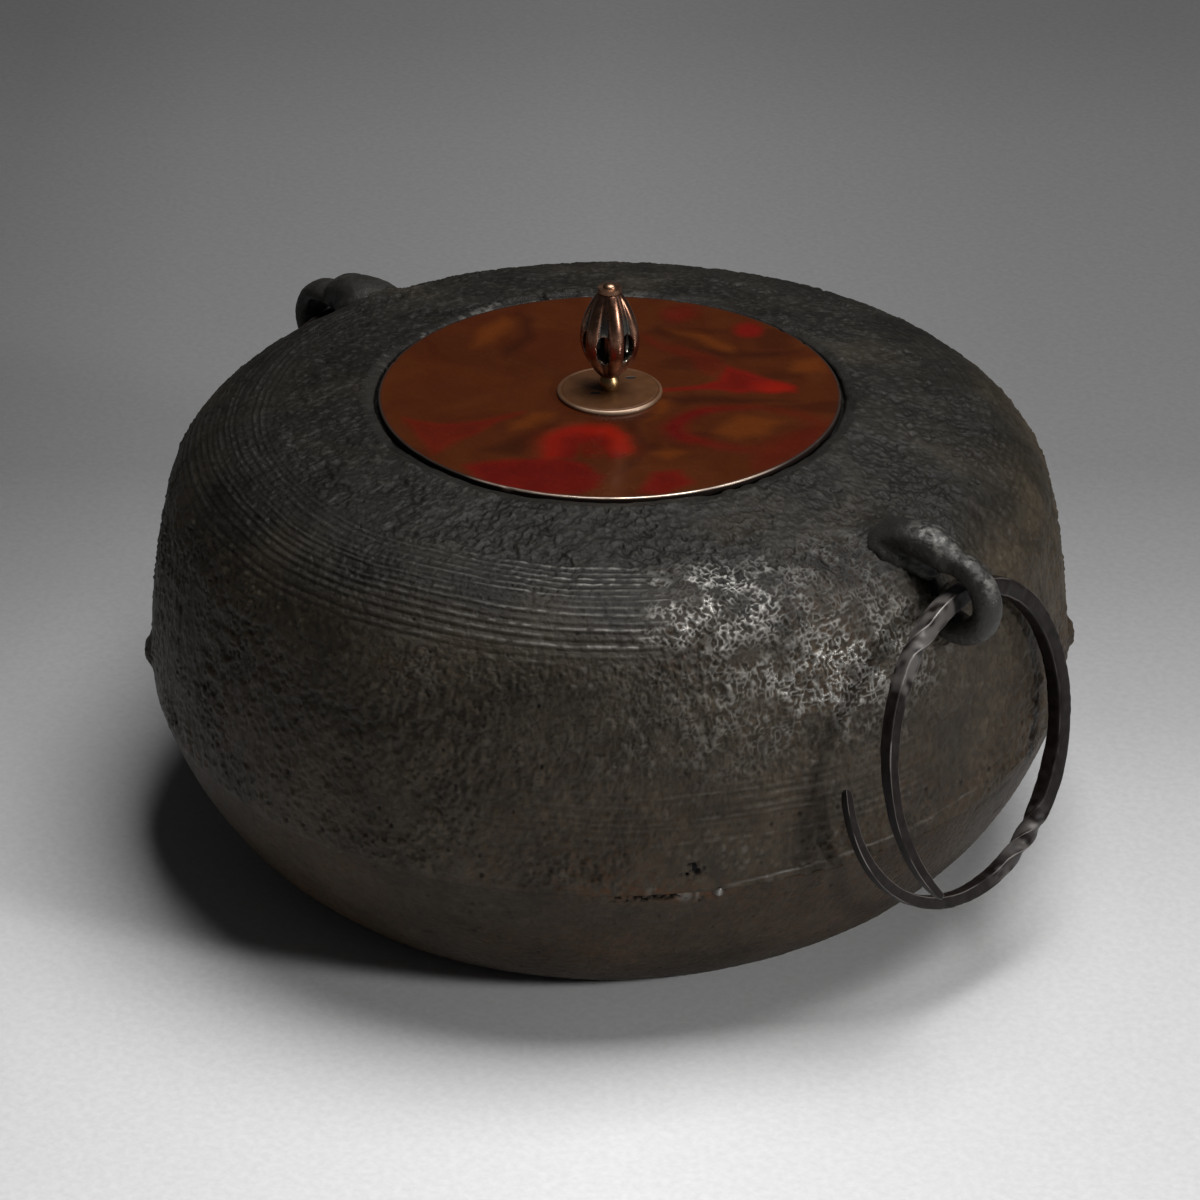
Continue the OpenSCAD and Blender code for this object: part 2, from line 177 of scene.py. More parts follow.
def spun(p, angle):
    """Points turned about the kettle's axis."""
    c, s = math.cos(angle), math.sin(angle)
    return p @ np.array([[c, s, 0], [-s, c, 0], [0, 0, 1]])


def arc(centre, r, start, end, count):
    a = np.radians(np.linspace(start, end, count))
    return np.c_[centre[0] + r * np.cos(a), centre[1] + r * np.sin(a)]


def bezier(a, b, c, count):
    t = np.linspace(0, 1, count)[:, None]
    return (1 - t) ** 2 * np.array(a) + 2 * t * (1 - t) * np.array(b) + t ** 2 * np.array(c)


def lengths(points):
    """Distance of each point along a line of points."""
    return np.r_[0, np.cumsum(np.hypot(*np.diff(points, axis=0).T))]


def along_line(points, s):
    """The points at distances s along a line of points."""
    d = lengths(points)
    return np.c_[np.interp(s, d, points[:, 0]), np.interp(s, d, points[:, 1])]


def spaced(points, step):
    """Points about every step along a line of points."""
    points = np.asarray(points, float)
    total = lengths(points)[-1]
    return along_line(points, np.linspace(0, total, max(2, int(round(total / step)) + 1)))


def outward(profile):
    """Unit normals of a profile that runs with its solid on the left."""
    slope = np.gradient(profile, axis=0)
    normal = np.c_[slope[:, 1], -slope[:, 0]]
    return normal / np.hypot(*normal.T)[:, None]


def even_turns(count):
    return np.linspace(-180, 180, count, endpoint=False)


class Turning:
    """The grid of a turned piece: its row, radius, height, angle and place at every point."""

    def __init__(self, profile, degrees):
        self.profile = np.asarray(profile, float)
        self.rows, self.turns = len(self.profile), len(degrees)
        self.row = np.repeat(np.arange(self.rows), self.turns)
        self.az = np.tile(degrees, self.rows)
        self.angle = np.radians(self.az)
        self.r, self.z = self.profile[self.row].T
        self.p = self.at(self.r, self.z)

    def at(self, r, z):
        return np.c_[r * np.cos(self.angle), r * np.sin(self.angle), z]


def turned(name, profile, turns, jitter=0.0):
    """A plain turned piece from a profile that closes on itself."""
    t = Turning(profile, even_turns(turns))
    r = t.r + jitter * noise(t.p, 2.0, 3)
    return add_mesh(name, t.at(r, t.z), grid_faces(t.rows, turns, True))


def ball(centre, axes, radii, rows=18, turns=28):
    """Points and faces of an ellipsoid."""
    a = np.repeat(np.linspace(-math.pi / 2, math.pi / 2, rows + 2)[1:-1], turns)
    b = np.tile(np.linspace(0, 2 * math.pi, turns, endpoint=False), rows)
    unit = np.c_[np.cos(a) * np.cos(b), np.cos(a) * np.sin(b), np.sin(a)]
    return centre + (unit * radii) @ np.array(axes), grid_faces(rows, turns, capped=True)


def melt(obj, size, rounds):
    """Rebuilds a piece, with its modifiers worked in, as one closed skin and softens its edges."""
    remesh = obj.modifiers.new("melt", "REMESH")
    remesh.mode = "VOXEL"
    remesh.voxel_size = size * MM
    soften = obj.modifiers.new("soften", "SMOOTH")
    soften.factor = 0.5
    soften.iterations = rounds
    bpy.context.view_layer.update()
    graph = bpy.context.evaluated_depsgraph_get()
    mesh = bpy.data.meshes.new_from_object(obj.evaluated_get(graph))
    obj.modifiers.clear()
    obj.data = mesh
    mesh.polygons.foreach_set("use_smooth", np.ones(len(mesh.polygons), bool))


# Materials

class Finish:
    """A material with a principled shader, and short calls for the nodes that feed it."""

    def __init__(self, name, **constants):
        self.material = bpy.data.materials.new(name)
        self.material.use_nodes = True
        self.tree = self.material.node_tree
        self.tree.nodes.clear()
        out = self.new("OutputMaterial")
        self.shader = self.new("BsdfPrincipled")
        self.tree.links.new(self.shader.outputs[0], out.inputs[0])
        for key, value in constants.items():
            self.shader.inputs[key.replace("_", " ")].default_value = value
        self.where = self.new("TexCoord").outputs["Object"]

    def new(self, kind, **inputs):
        """A shader node with some of its inputs fed."""
        n = self.tree.nodes.new("ShaderNode" + kind)
        for name, value in inputs.items():
            self.feed(n.inputs[name], value)
        return n

    def feed(self, socket, value):
        if isinstance(value, bpy.types.NodeSocket):
            self.tree.links.new(value, socket)
        else:
            socket.default_value = value

    def set(self, name, value):
        self.feed(self.shader.inputs[name], value)

    def noise(self, size, detail, rough, twist=0.0):
        """Noise with features of a size in millimetres."""
        n = self.new("TexNoise", Vector=self.where, Scale=1 / (size * MM), Detail=detail,
                     Roughness=rough, Distortion=twist)
        return n.outputs["Fac"]

    def mask(self, name):
        n = self.new("Attribute")
        n.attribute_name = name
        return n.outputs["Fac"]

    def ramp(self, value, *stops):
        """A number that goes through stops, each a place from 0 to 1 and a level."""
        n = self.new("ValToRGB")
        self.feed(n.inputs[0], value)
        marks = n.color_ramp.elements
        marks[0].position, marks[1].position = stops[0][0], stops[-1][0]
        for at, _ in stops[1:-1]:
            marks.new(at)
        for mark, (_, level) in zip(marks, stops):
            mark.color = (level, level, level, 1)
        return n.outputs[0]

    def mix(self, share, a, b, kind="MIX"):
        n = self.new("Mix")
        n.data_type = "RGBA"
        n.blend_type = kind
        self.feed(n.inputs[0], share)
        for socket, value in ((n.inputs[6], a), (n.inputs[7], b)):
            self.feed(socket, (*value, 1) if isinstance(value, tuple) else value)
        return n.outputs[2]

    def coat(self, colour, **tints):
        """The colour under tints, each laid on where the mask of its name says."""
        for name, tint in tints.items():
            colour = self.mix(self.mask(name), colour, tint)
        return colour

    def times(self, a, b):
        n = self.new("Math")
        n.operation = "MULTIPLY"
        self.feed(n.inputs[0], a)
        self.feed(n.inputs[1], b)
        return n.outputs[0]

    def bump(self, height, strength, depth):
        """Roughens the surface by a height of up to depth millimetres."""
        n = self.new("Bump", Strength=strength, Distance=depth * MM, Height=height)
        self.set("Normal", n.outputs[0])


# Kettle body: the upper shell

WALL_CENTRE, WALL_R = (-84.0, 54.5), 214.0
SHOULDER_R, SHOULDER_FROM, SHOULDER_TO = 30.0, 13.4565, 79.6
# The shoulder's arc runs on from the wall's without a kink
SHOULDER_CENTRE = arc(WALL_CENTRE, WALL_R - SHOULDER_R, SHOULDER_FROM, SHOULDER_FROM, 1)[0]
FOOT_Z, SEAM_Z = 50.8, 50.0
RIM_R, RIM_Z = 68.9, 132.6
RECESS_R, SEAT_Z, MOUTH_R = 65.4, 130.9, 57.0
WALL_T, MOUTH_T = 3.2, 4.6
# How far the shell stands out from the pan at the joint
STEP = 0.4
PAN_R = WALL_CENTRE[0] + math.sqrt(WALL_R ** 2 - (FOOT_Z - WALL_CENTRE[1]) ** 2) - STEP
# Radius at which lengths round the kettle are measured
ROUND_R = 112.0
# The skin is finest where it is crinkled
SHELL_TURNS = np.r_[np.arange(-180, -100, 0.25), np.arange(-100, -46, 0.18), np.arange(-46, 12, 0.13),
                    np.arange(12, 180, 0.25)]

# Places on the shell are degrees round it from the front lug and millimetres up its side from the joint
# Where the pan's edge laps over the shell, and where the top begins and is full
LAP_FROM, LAP_TO = -33.2, 2.0
TOP_FROM, TOP_FULL = 92, 98
# Patches: first and last place round and softness there, then first and last place up and softness
BAND = (-178, -40, 0.8, 65, 96, 2.5)
BACK_BAND = (28, 150, 4.0, 66, 92, 4.0)
LOW_BAND = (-64, -6, 4.0, 13, 31, 2.5)
CRINKLE = (-39, -3, 4, 43, 99, 5)
VEINED = (-66, 4, 6, 30, 64, 7)
PITTED = (2, 80, 8, 76, 112, 8)
# Spots: middle and spread round, then middle and spread up
# Spots where the iron's ridges are made shinier and paler as a painted highlight
GLOW_HIGH, GLOW_LOW, GLOW_SPILL = (-33, 11, 78, 15), (-17, 12, 56, 12), (-23, 15, 49, 13)
CRINKLE_GAP, CRINKLE_ISLE = (-27, 5, 66, 6), (-71, 7, 58, 7)
FLASH_LEFT, FLASH_RIGHT = (-132, 2.0, 5.5, 4.6), (42, 1.9, 9.0, 4.8)
CAVITY, SCAR, STAIN = (-36.4, 0.9, 6.2, 1.6), (12, 2.6, 3.2, 1.6), (-40, 9, 0, 4)
# The middle of the side that is turned away from the light, where shade is painted darker
SHADE_AT = -138
# Turn of each lug, and where its eye, the start of its root and the end of it lie up the side
LUG_ROOTS = ((0.0, 64.5, 70.0, 85.0), (174.0, 58.2, 64.0, 78.0))
# Notches in the rim at the back: place round, half width and depth
RIM_NOTCHES = ((150.7, 0.9, 1.6), (143.0, 1.8, 1.3))
# Heights and depths of the relief
SWELL_H, GRAIN_H, BUMP_H, HAIR_H, GROOVE_H, BLISTER_H, PIT_H = 0.24, 0.30, 0.34, 0.24, 0.28, 0.42, 0.42
PLATEAU_H, ROOT_H, LEDGE_H, FLASH_H, CAVE_H = 0.38, 1.9, 0.12, 2.1, 1.1


def patch(az, s, where, left=0, right=0):
    """1 on a patch and 0 off it, its ends moved round the kettle by left and right."""
    first, last, soft_round, low, high, soft_up = where
    return window(az, first + left, last + right, soft_round) * window(s, low, high, soft_up)


def spot(az, s, where):
    """1 in the middle of a spot, fading around it."""
    at_round, spread_round, at_up, spread_up = where
    return hump(az, at_round, spread_round) * hump(s, at_up, spread_up)


def shell_outside():
    foot = math.degrees(math.asin((FOOT_Z - WALL_CENTRE[1]) / WALL_R))
    wall = arc(WALL_CENTRE, WALL_R, foot, SHOULDER_FROM, 240)
    shoulder = arc(SHOULDER_CENTRE, SHOULDER_R, SHOULDER_FROM, SHOULDER_TO, 240)
    line = np.vstack([wall, shoulder[1:], [[RIM_R, RIM_Z]]])
    total = lengths(line)[-1]
    s = np.r_[np.arange(0, 8, 0.33), np.arange(8, 40, 0.42), np.arange(40, 100, 0.33),
              np.linspace(100, total, int((total - 100) / 0.5))]
    return along_line(line, s), s


def joint_wave(angle):
    """Unevenness of the joint, shared by the two castings so that they meet."""
    ring = PAN_R * np.c_[np.cos(angle), np.sin(angle), 0 * angle]
    return 0.22 * noise(ring, 8, 60) + 0.10 * noise(ring, 2.6, 61)


def brush_lines(s, along, pitch, seed):
    """Raised hairs and cut grooves drawn round the kettle, about a pitch apart."""
    phase = s / pitch + 0.5 * noise(np.c_[s, along / 50, 0 * s], 4.5, seed)
    line = np.floor(phase)
    t = phase - line - 0.5
    strong = np.clip(0.6 + 0.7 * noise(np.c_[line * 3.7, along / 24, 0 * s], 1.0, seed + 1), 0.12, 1)
    bead = np.clip(0.65 + 0.9 * noise(np.c_[s, along / 1.4, 0 * s + 5], 1.3, seed + 2), 0.12, 1)
    return tent(t, 0.22) * strong * bead, tent(0.5 - np.abs(t), 0.17) * (0.3 + 0.7 * strong)


def skin_zones(p, az, s):
    """Where each kind of skin lies, from 0 to 1, and the wavering way up the side for brush lines."""
    ragged = 2.2 * noise(np.c_[s, 0 * s, 0 * s], 1.3, 20) + 1.2 * noise(p, 3, 21)
    wander = s + 0.9 * noise(p, 34, 5) + 0.25 * noise(p, 9, 6)
    spread = s + 5 * noise(p, 11, 23)
    band = patch(az, wander, BAND, right=ragged)
    back_band = patch(az, wander, BACK_BAND, ragged, -ragged)
    low_band = patch(az, wander, LOW_BAND, 2 * ragged) * (0.4 + 0.6 * ramp(az, -52, -32))
    top = ramp(s + 2.5 * noise(p, 8, 22), TOP_FROM, TOP_FULL)
    crinkle = patch(az, spread, CRINKLE, ragged, 2 * ragged)
    crinkle *= 1 - (1 - ramp(spread, 50, 62)) * (1 - ramp(az + 2 * ragged, -33, -22))
    crinkle *= 1 - 0.5 * spot(az, s, CRINKLE_GAP)
    crinkle = np.clip(crinkle * (1 - 0.6 * top) + 0.8 * spot(az, s, CRINKLE_ISLE), 0, 1)
    veined = patch(az, spread, VEINED, 2 * ragged)
    brushed = np.clip(band + 0.6 * back_band + 0.6 * low_band, 0, 1)
    return band, low_band, brushed, top, crinkle, veined, wander


def lug_roots(az, s):
    """Where the iron is drawn up round the roots of the lugs, and a shadow painted dark on the shell behind their
    eyes.
    """
    rise, hollow = np.zeros(len(s)), np.zeros(len(s))
    for turn, eye, start, end in LUG_ROOTS:
        side = np.radians((az - turn + 180) % 360 - 180) * ROUND_R
        # A shadow painted on the shell behind each eye, where the strap shades it
        hollow = np.maximum(hollow, hump(side, 0, 5.5) * hump(s, eye + 2, 6))
        past = np.maximum(0, np.maximum(start - s, s - end))
        rise += 1 - ramp(np.hypot(side, past), 3.5, 12.5)
    return rise, hollow


def work_joint(h, p, az, s):
    """The skin with its joint worked in, and where the lap's ledge and the cavities are.

    The joint is flush with the pan, but for a lapped edge of the pan that climbs to the right.
    """
    near = 1 - ramp(s, 0, 2.5)
    lap = ramp(az, LAP_FROM - 0.2, LAP_FROM + 0.2) * (1 - ramp(az, LAP_TO - 4, LAP_TO + 4))
    climb = 0.2 + 0.125 * (az - LAP_FROM) + 0.2 * noise(p, 4, 62)
    over = ramp(s, climb - 0.15, climb + 0.15)
    ledge = lap * hump(s, climb, 0.2)
    h = h * (1 - 0.75 * near) + near * joint_wave(np.radians(az))
    h -= STEP * (0.4 * (1 - lap) * (1 - ramp(s, 0, 5)) + lap * over * (1 - ramp(s - climb, 0.5, 9)))
    h += LEDGE_H * ledge
    h += FLASH_H * ramp(spot(az, s, FLASH_LEFT) + spot(az, s, FLASH_RIGHT), 0.05, 0.9)
    cave = np.clip(2.2 * spot(az, s, CAVITY) * ramp(noise(p, 0.9, 65), 0.0, 0.25), 0, 1)
    h += spot(az, s, SCAR) * (0.9 * noise(p, 2.2, 66) + 0.5) - CAVE_H * cave
    return h, ledge, cave


def shell_relief(p, az, s):
    """How far the casting skin stands out at each point, in millimetres, and its masks.

    az is the angle round the kettle and s the way up its side from the joint.
    """
    band, low_band, brushed, top, crinkle, veined, wander = skin_zones(p, az, s)
    low = 1 - ramp(s, 10, 48)
    warp = p + 0.5 * np.c_[noise(p, 2.0, 7), noise(p, 2.0, 8), noise(p, 2.0, 9)]
    veins = tent(noise(warp, 1.15, 10) + 0.2 * noise(warp, 0.7, 11), 0.4)
    broken = np.clip(0.7 + 1.1 * noise(p, 4.2, 16), 0.15, 1)
    tall = p * [1, 1, 0.85]
    grain = np.tanh(2.4 * (0.75 * noise(tall, 1.35, 12) + 0.45 * noise(tall, 0.75, 13)))
    bumps = np.tanh(2.0 * noise(tall, 2.9, 17))
    patchy = np.clip(0.7 + 0.6 * noise(p, 14, 18), 0.25, 1.1)
    swell = noise(p, 30, 14) + 0.5 * noise(p, 12, 15)
    hairs, grooves = brush_lines(wander, np.radians(az) * ROUND_R, 2.2, 30)
    h = SWELL_H * swell + (GRAIN_H * grain + BUMP_H * bumps) * patchy * (1 - 0.55 * brushed - 0.5 * top)
    h += veins * (0.04 + 0.32 * np.maximum(crinkle, 0.7 * veined))
    h += brushed * (HAIR_H * hairs - GROOVE_H * grooves)

    # Scattered blisters with steep edges, thickest below the bands
    d, mark = nearest_cell(warp, 2.7, 55)
    blister = (mark < 0.62) * np.clip(1.6 - d / (0.20 + 0.22 * mark), 0, 1)
    blister *= (1 - 0.8 * brushed) * (1 - 0.8 * top) * np.clip(0.55 + 0.8 * noise(p, 10, 58), 0.1, 1)
    h += BLISTER_H * blister

    # The patchy top: smooth plateaus over rough ground, calmer at the back
    lobe = noise(p, 13, 40) + 0.6 * noise(p, 5.5, 41) + 0.35 * noise(p, 2.2, 42)
    plateau = ramp(lobe, -0.08, 0.18)
    coarse = np.tanh(1.8 * (0.8 * noise(p, 1.5, 43) + 0.6 * noise(p, 0.85, 44)))
    calm = 0.45 + 0.55 * hump(az, -40, 62)
    h += top * (PLATEAU_H * plateau + (0.26 - 0.16 * plateau) * coarse * calm)

    # Scattered pits, thicker low down and high on the right
    d, mark = nearest_cell(p * [1, 1, 0.75], 3.3, 50)
    share = 0.10 + 0.3 * low + 0.5 * patch(az, s, PITTED)
    pit = (mark < share) * np.clip(1.4 - d / (0.12 + 0.16 * mark), 0, 1)
    h -= PIT_H * pit

    rise, hollow = lug_roots(az, s)
    h, ledge, cave = work_joint(h + ROOT_H * rise, p, az, s)

    # Tone of the skin, with hollows, pits and grooves painted darker as shade, crests, blisters and hairs painted
    # lighter as light, and the side turned from the light painted darker
    lift = 0.42 + 0.3 * grain * (1 - 0.4 * brushed - 0.5 * top) + 0.3 * blister - 0.9 * pit
    lift += brushed * (0.3 * hairs - 0.95 * grooves) - 0.8 * hump(az, SHADE_AT, 36)
    lift += top * (0.35 * coarse * calm + 0.4 * plateau - 0.2)
    # Shiny bare iron on ridges and along the ledge, made shinier in the highlight spots, toward the band's lit end
    # and on blisters near them as a painted highlight
    glow = np.maximum(spot(az, s, GLOW_HIGH), spot(az, s, GLOW_LOW))
    shine = crinkle * veins * broken * (0.2 + 1.1 * glow)
    shine += veined * veins * broken * (0.06 + 0.4 * spot(az, s, GLOW_SPILL))
    shine += band * hairs * (0.08 + 0.62 * ramp(az, -82, -46)) + 0.14 * low_band * hairs
    shine += 0.12 * blister * hump(az, -33, 30) + 0.35 * ledge * broken
    shine += 0.05 * top * ramp(coarse, 0.4, 0.95)
    grime = np.clip(0.5 + 0.6 * noise(p, 18, 70), 0, 1)
    rust = 0.45 * low * grime + 0.8 * spot(az, s, STAIN) + 0.4 * crinkle * (1 - veins) * grime
    # Painted shade low on the side turned from the light
    shade = hump(az, SHADE_AT, 30) * (1 - ramp(s, 56, 84))
    return h, {
        "lift": lift,
        "shine": shine,
        "brown": 1 - ramp(s, 50, 86) + 0.35 * noise(p, 15, 71),
        "rust": rust,
        # Dark pits and cavities, and painted shade: the shadow behind the lug eyes and the side turned from the
        # light
        "pit": 1.3 * cave + 0.6 * pit + 0.9 * hollow + 0.4 * shade,
    }


def build_shell():
    outside, s = shell_outside()
    count = len(outside)
    rim = [[RIM_R - 0.9, RIM_Z + 0.05], [RECESS_R + 0.9, RIM_Z], [RECESS_R + 0.25, RIM_Z - 0.2],
           [RECESS_R, RIM_Z - 0.8], [RECESS_R, SEAT_Z]]
    seat = spaced([[RECESS_R - 0.6, SEAT_Z], [MOUTH_R, SEAT_Z], [MOUTH_R, SEAT_Z - MOUTH_T]], 1.5)
    under = [[80.0, SEAT_Z - MOUTH_T], [88.0, 125.1]]
    inside = np.vstack([arc(SHOULDER_CENTRE, SHOULDER_R - WALL_T, SHOULDER_TO, SHOULDER_FROM, 14),
                        arc(WALL_CENTRE, WALL_R - WALL_T, SHOULDER_FROM, -1.0, 16)])
    t = Turning(np.vstack([outside, rim, seat, under, inside]), SHELL_TURNS)
    outer = t.row < count
    h = np.where(outer, 0, 0.25 * noise(t.p, 4, 82))
    h[outer], found = shell_relief(t.p[outer], t.az[outer], s[t.row[outer]])
    masks = {}
    for key, values in found.items():
        masks[key] = np.full(len(t.p), 0.4 if key == "lift" else 0.0)
        masks[key][outer] = values
    h[outer] *= np.clip((RIM_Z + 3 - t.z[outer]) / 3, 0.35, 1)
    n = outward(t.profile)[t.row]
    r = t.r + h * n[:, 0]
    z = t.z + h * n[:, 1]
    # The rim is worn and chipped, with two notches at the back
    on_rim = (t.row >= count - 4) & (t.row < count + 4)
    in_recess = (t.row >= count) & (t.row < count + 5)
    chip = 0.5 * ramp(noise(t.p, 9, 80) + 0.35 * noise(t.p, 2.8, 81), 0.15, 0.7)
    chip = np.maximum(chip, sum(deep * hump(t.az, at, wide) for at, wide, deep in RIM_NOTCHES))
    z = np.where(on_rim, z - 0.6 * chip + 0.15 * noise(t.p, 11, 83), z)
    r = np.where(in_recess, r + 0.8 * chip, r)
    z = np.where(t.row == 0, SEAM_Z - 0.1, z)
    # Bright worn iron on the rim at the back, partly a painted highlight
    worn = ramp(0.7 * noise(t.p, 7, 84) + 0.8 * noise(t.p, 1.2, 85), 0.15, 0.5)
    worn = worn * window(t.az % 360, 128, 210, 12)
    masks["shine"] = np.where(on_rim & ~outer, 0.25 * worn * (1 - chip), masks["shine"] * outer)
    # The lower recess wall, the seat and the inside are painted near black as shade, and the rim's chips darker
    masks["pit"] = np.where(t.row >= count + 3, 0.9, np.where(on_rim & ~outer, 0.4 * chip, masks["pit"]))
    obj = add_mesh("shell_skin", t.at(r, z), grid_faces(t.rows, t.turns, True), masks)
    lay_out(obj, t, count, share=0.85)
    return obj


# Kettle body: the bottom pan and the putty in the joint

BASE_R = 93.0
KNEE = (119.2, 14.8)
LIP_T, LAP_H, LAP_GAP, FLOOR_T = 2.6, 8.0, 0.1, 4.0
LIP_R = PAN_R - WALL_T - LAP_GAP
HUB_R = 1.5
# The torn iron's left end, and the row of cavities: places round, then millimetres down from the joint
TORN_FROM = -38.2
CAVITIES = (-45.8, -37.8, 0.6, 0.0, 2.3, 0.5)
PAN_TURNS = np.r_[np.arange(-180, -50, 0.3), np.arange(-50, 4, 0.14), np.arange(4, 180, 0.3)]


def build_pan():
    under = spaced([[HUB_R, 0], [BASE_R - 1.5, 0]], 3)
    bowl = bezier((BASE_R, 0), KNEE, (PAN_R, SEAM_Z), 300)
    total = lengths(bowl)[-1]
    side = along_line(bowl, np.r_[np.arange(0, total - 8, 0.6), np.linspace(total - 8, total, 28)])
    lip = [[PAN_R - 0.4, SEAM_Z + 0.3], [LIP_R, SEAM_Z + 0.3], [LIP_R, SEAM_Z + LAP_H],
           [LIP_R - LIP_T, SEAM_Z + LAP_H]]
    inside = bezier((LIP_R - LIP_T, SEAM_Z - 4), (KNEE[0] - WALL_T, KNEE[1] + FLOOR_T),
                    (BASE_R - 3, FLOOR_T), 22)
    floor = spaced([[BASE_R - 6, FLOOR_T], [HUB_R, FLOOR_T]], 3)
    t = Turning(np.vstack([under, side, lip, inside, floor]), PAN_TURNS)
    first, last = len(under), len(under) + len(side)
    outer = (t.row >= first) & (t.row < last)
    drop = SEAM_Z - t.z
    p, az = t.p, t.az

    grain = 0.75 * noise(p, 1.4, 101) + 0.55 * noise(p, 0.8, 102)
    d, mark = nearest_cell(p, 3.6, 100)
    pit = (mark < 0.4) * np.clip(1.4 - d / (0.07 + 0.17 * mark), 0, 1)
    h = 0.13 * grain + 0.3 * noise(p, 34, 103) + 0.1 * noise(p, 6, 104) - 0.42 * pit
    near = 1 - ramp(drop, 0, 2.5)
    lap = ramp(az, LAP_FROM - 0.25, LAP_FROM + 0.1) * (1 - ramp(az, LAP_TO - 4, LAP_TO + 4))
    h = h * (1 - 0.75 * near) + near * joint_wave(t.angle) + lap * STEP * (1 - ramp(drop, 1.5, 9))
    # Iron torn away left of the lapped edge, which ends in a fin, and cavities along the joint
    fin = hump(az, LAP_FROM + 0.1, 0.3) * window(drop, -0.5, 2.1, 0.5)
    torn = window(az, TORN_FROM, LAP_FROM - 0.3, 0.4) * (1 - ramp(drop, 1.6, 4.5))
    streak = noise(np.c_[az * 2.3, t.z / 6, 0 * az], 0.9, 107)
    cave = patch(az, drop, CAVITIES) * ramp(noise(p * [1, 1, 1.4], 1.25, 106) + 0.3 * noise(p, 0.6, 108), -0.12, 0.1)
    h += 0.45 * fin + torn * (0.3 * streak - 0.25) - 1.5 * cave
    fade = np.clip((t.row - first) / 6, 0, 1)
    h = np.where(outer, h * fade, 0.12 * noise(p, 3, 109))
    h = np.where(t.row < first, 0, h)
    n = outward(t.profile)[t.row]
    points = t.at(t.r + h * n[:, 0], np.maximum(t.z + h * n[:, 1], 0))
    grime = np.clip(0.5 + 0.6 * noise(p, 22, 110), 0, 1)
    wet = t.row >= last + 4
    stain = hump(az, -41, 7) * (1 - ramp(drop, 0.5, 5))
    masks = {
        # Grain crests painted lighter and pits darker, as light and shade
        "lift": 0.5 + 0.5 * grain - 0.9 * pit,
        "shine": (0.9 * fin + 0.25 * torn * ramp(streak, 0.1, 0.5)) * outer,
        "brown": np.ones(len(p)),
        "rust": 0.55 * grime * outer + 0.6 * torn + 0.7 * stain + 0.8 * wet,
        "pit": 1.3 * cave + 0.75 * pit * outer,
    }
    return add_mesh("pan_skin", points, grid_faces(t.rows, t.turns, capped=True), masks)


def build_putty():
    low, high = SEAM_Z + 0.35, SEAM_Z + 0.75
    r, inner = PAN_R - 1.0, LIP_R + LAP_GAP
    profile = [[inner, low], [r, low], [r, high], [inner, high]]
    return turned("putty_skin", profile, turns=720, jitter=0.2)


# Lugs: a strap round the eye that runs on into a ridge and sinks into the shoulder

# Place of the eye round the shoulder, its height, turn about the kettle's axis, breadth of the strap,
# height of the ridge, and how far the crest is rubbed bright
LUGS = {"front_lug": (33.5, 8.4, 0.0, 1.0, 1.0, 0.35), "rear_lug": (21.5, 7.4, 174.0, 1.45, 0.8, 0.08)}
EYE_R = 6.25
# The strap's arc: its middle's drop below the eye, radius, ends, and half sizes across and out
STRAP_DROP, STRAP_R = 2.4, 9.1
STRAP_FROM, STRAP_TO = -146, 76
STRAP_ACROSS, STRAP_OUT = 4.2, 3.9
# The ridge: degrees past the eye, height as a share of the eye's, and half sizes across and out
RIDGE = np.array([(9, 1.34, 4.3, 3.8), (17, 1.2, 5.5, 4.6), (24, 0.9, 6.5, 5.2),
                  (32, 0.42, 7.4, 5.0), (39, 0.05, 8.4, 4.6), (45, -0.4, 9.0, 4.2)])
# The skirt that fills the corner under the ridge: degrees past the eye, height and half width
SKIRT = ((17, 2.6, 5.0), (21, 2.0, 6.6), (26, 0.6, 8.6), (32, 0.0, 9.8), (38, -0.6, 10.0))


def over_shoulder(angle, height):
    """Radius and level of a point at an angle round the shoulder and a height over it."""
    return arc(SHOULDER_CENTRE, SHOULDER_R + height, angle, angle, 1)[0]


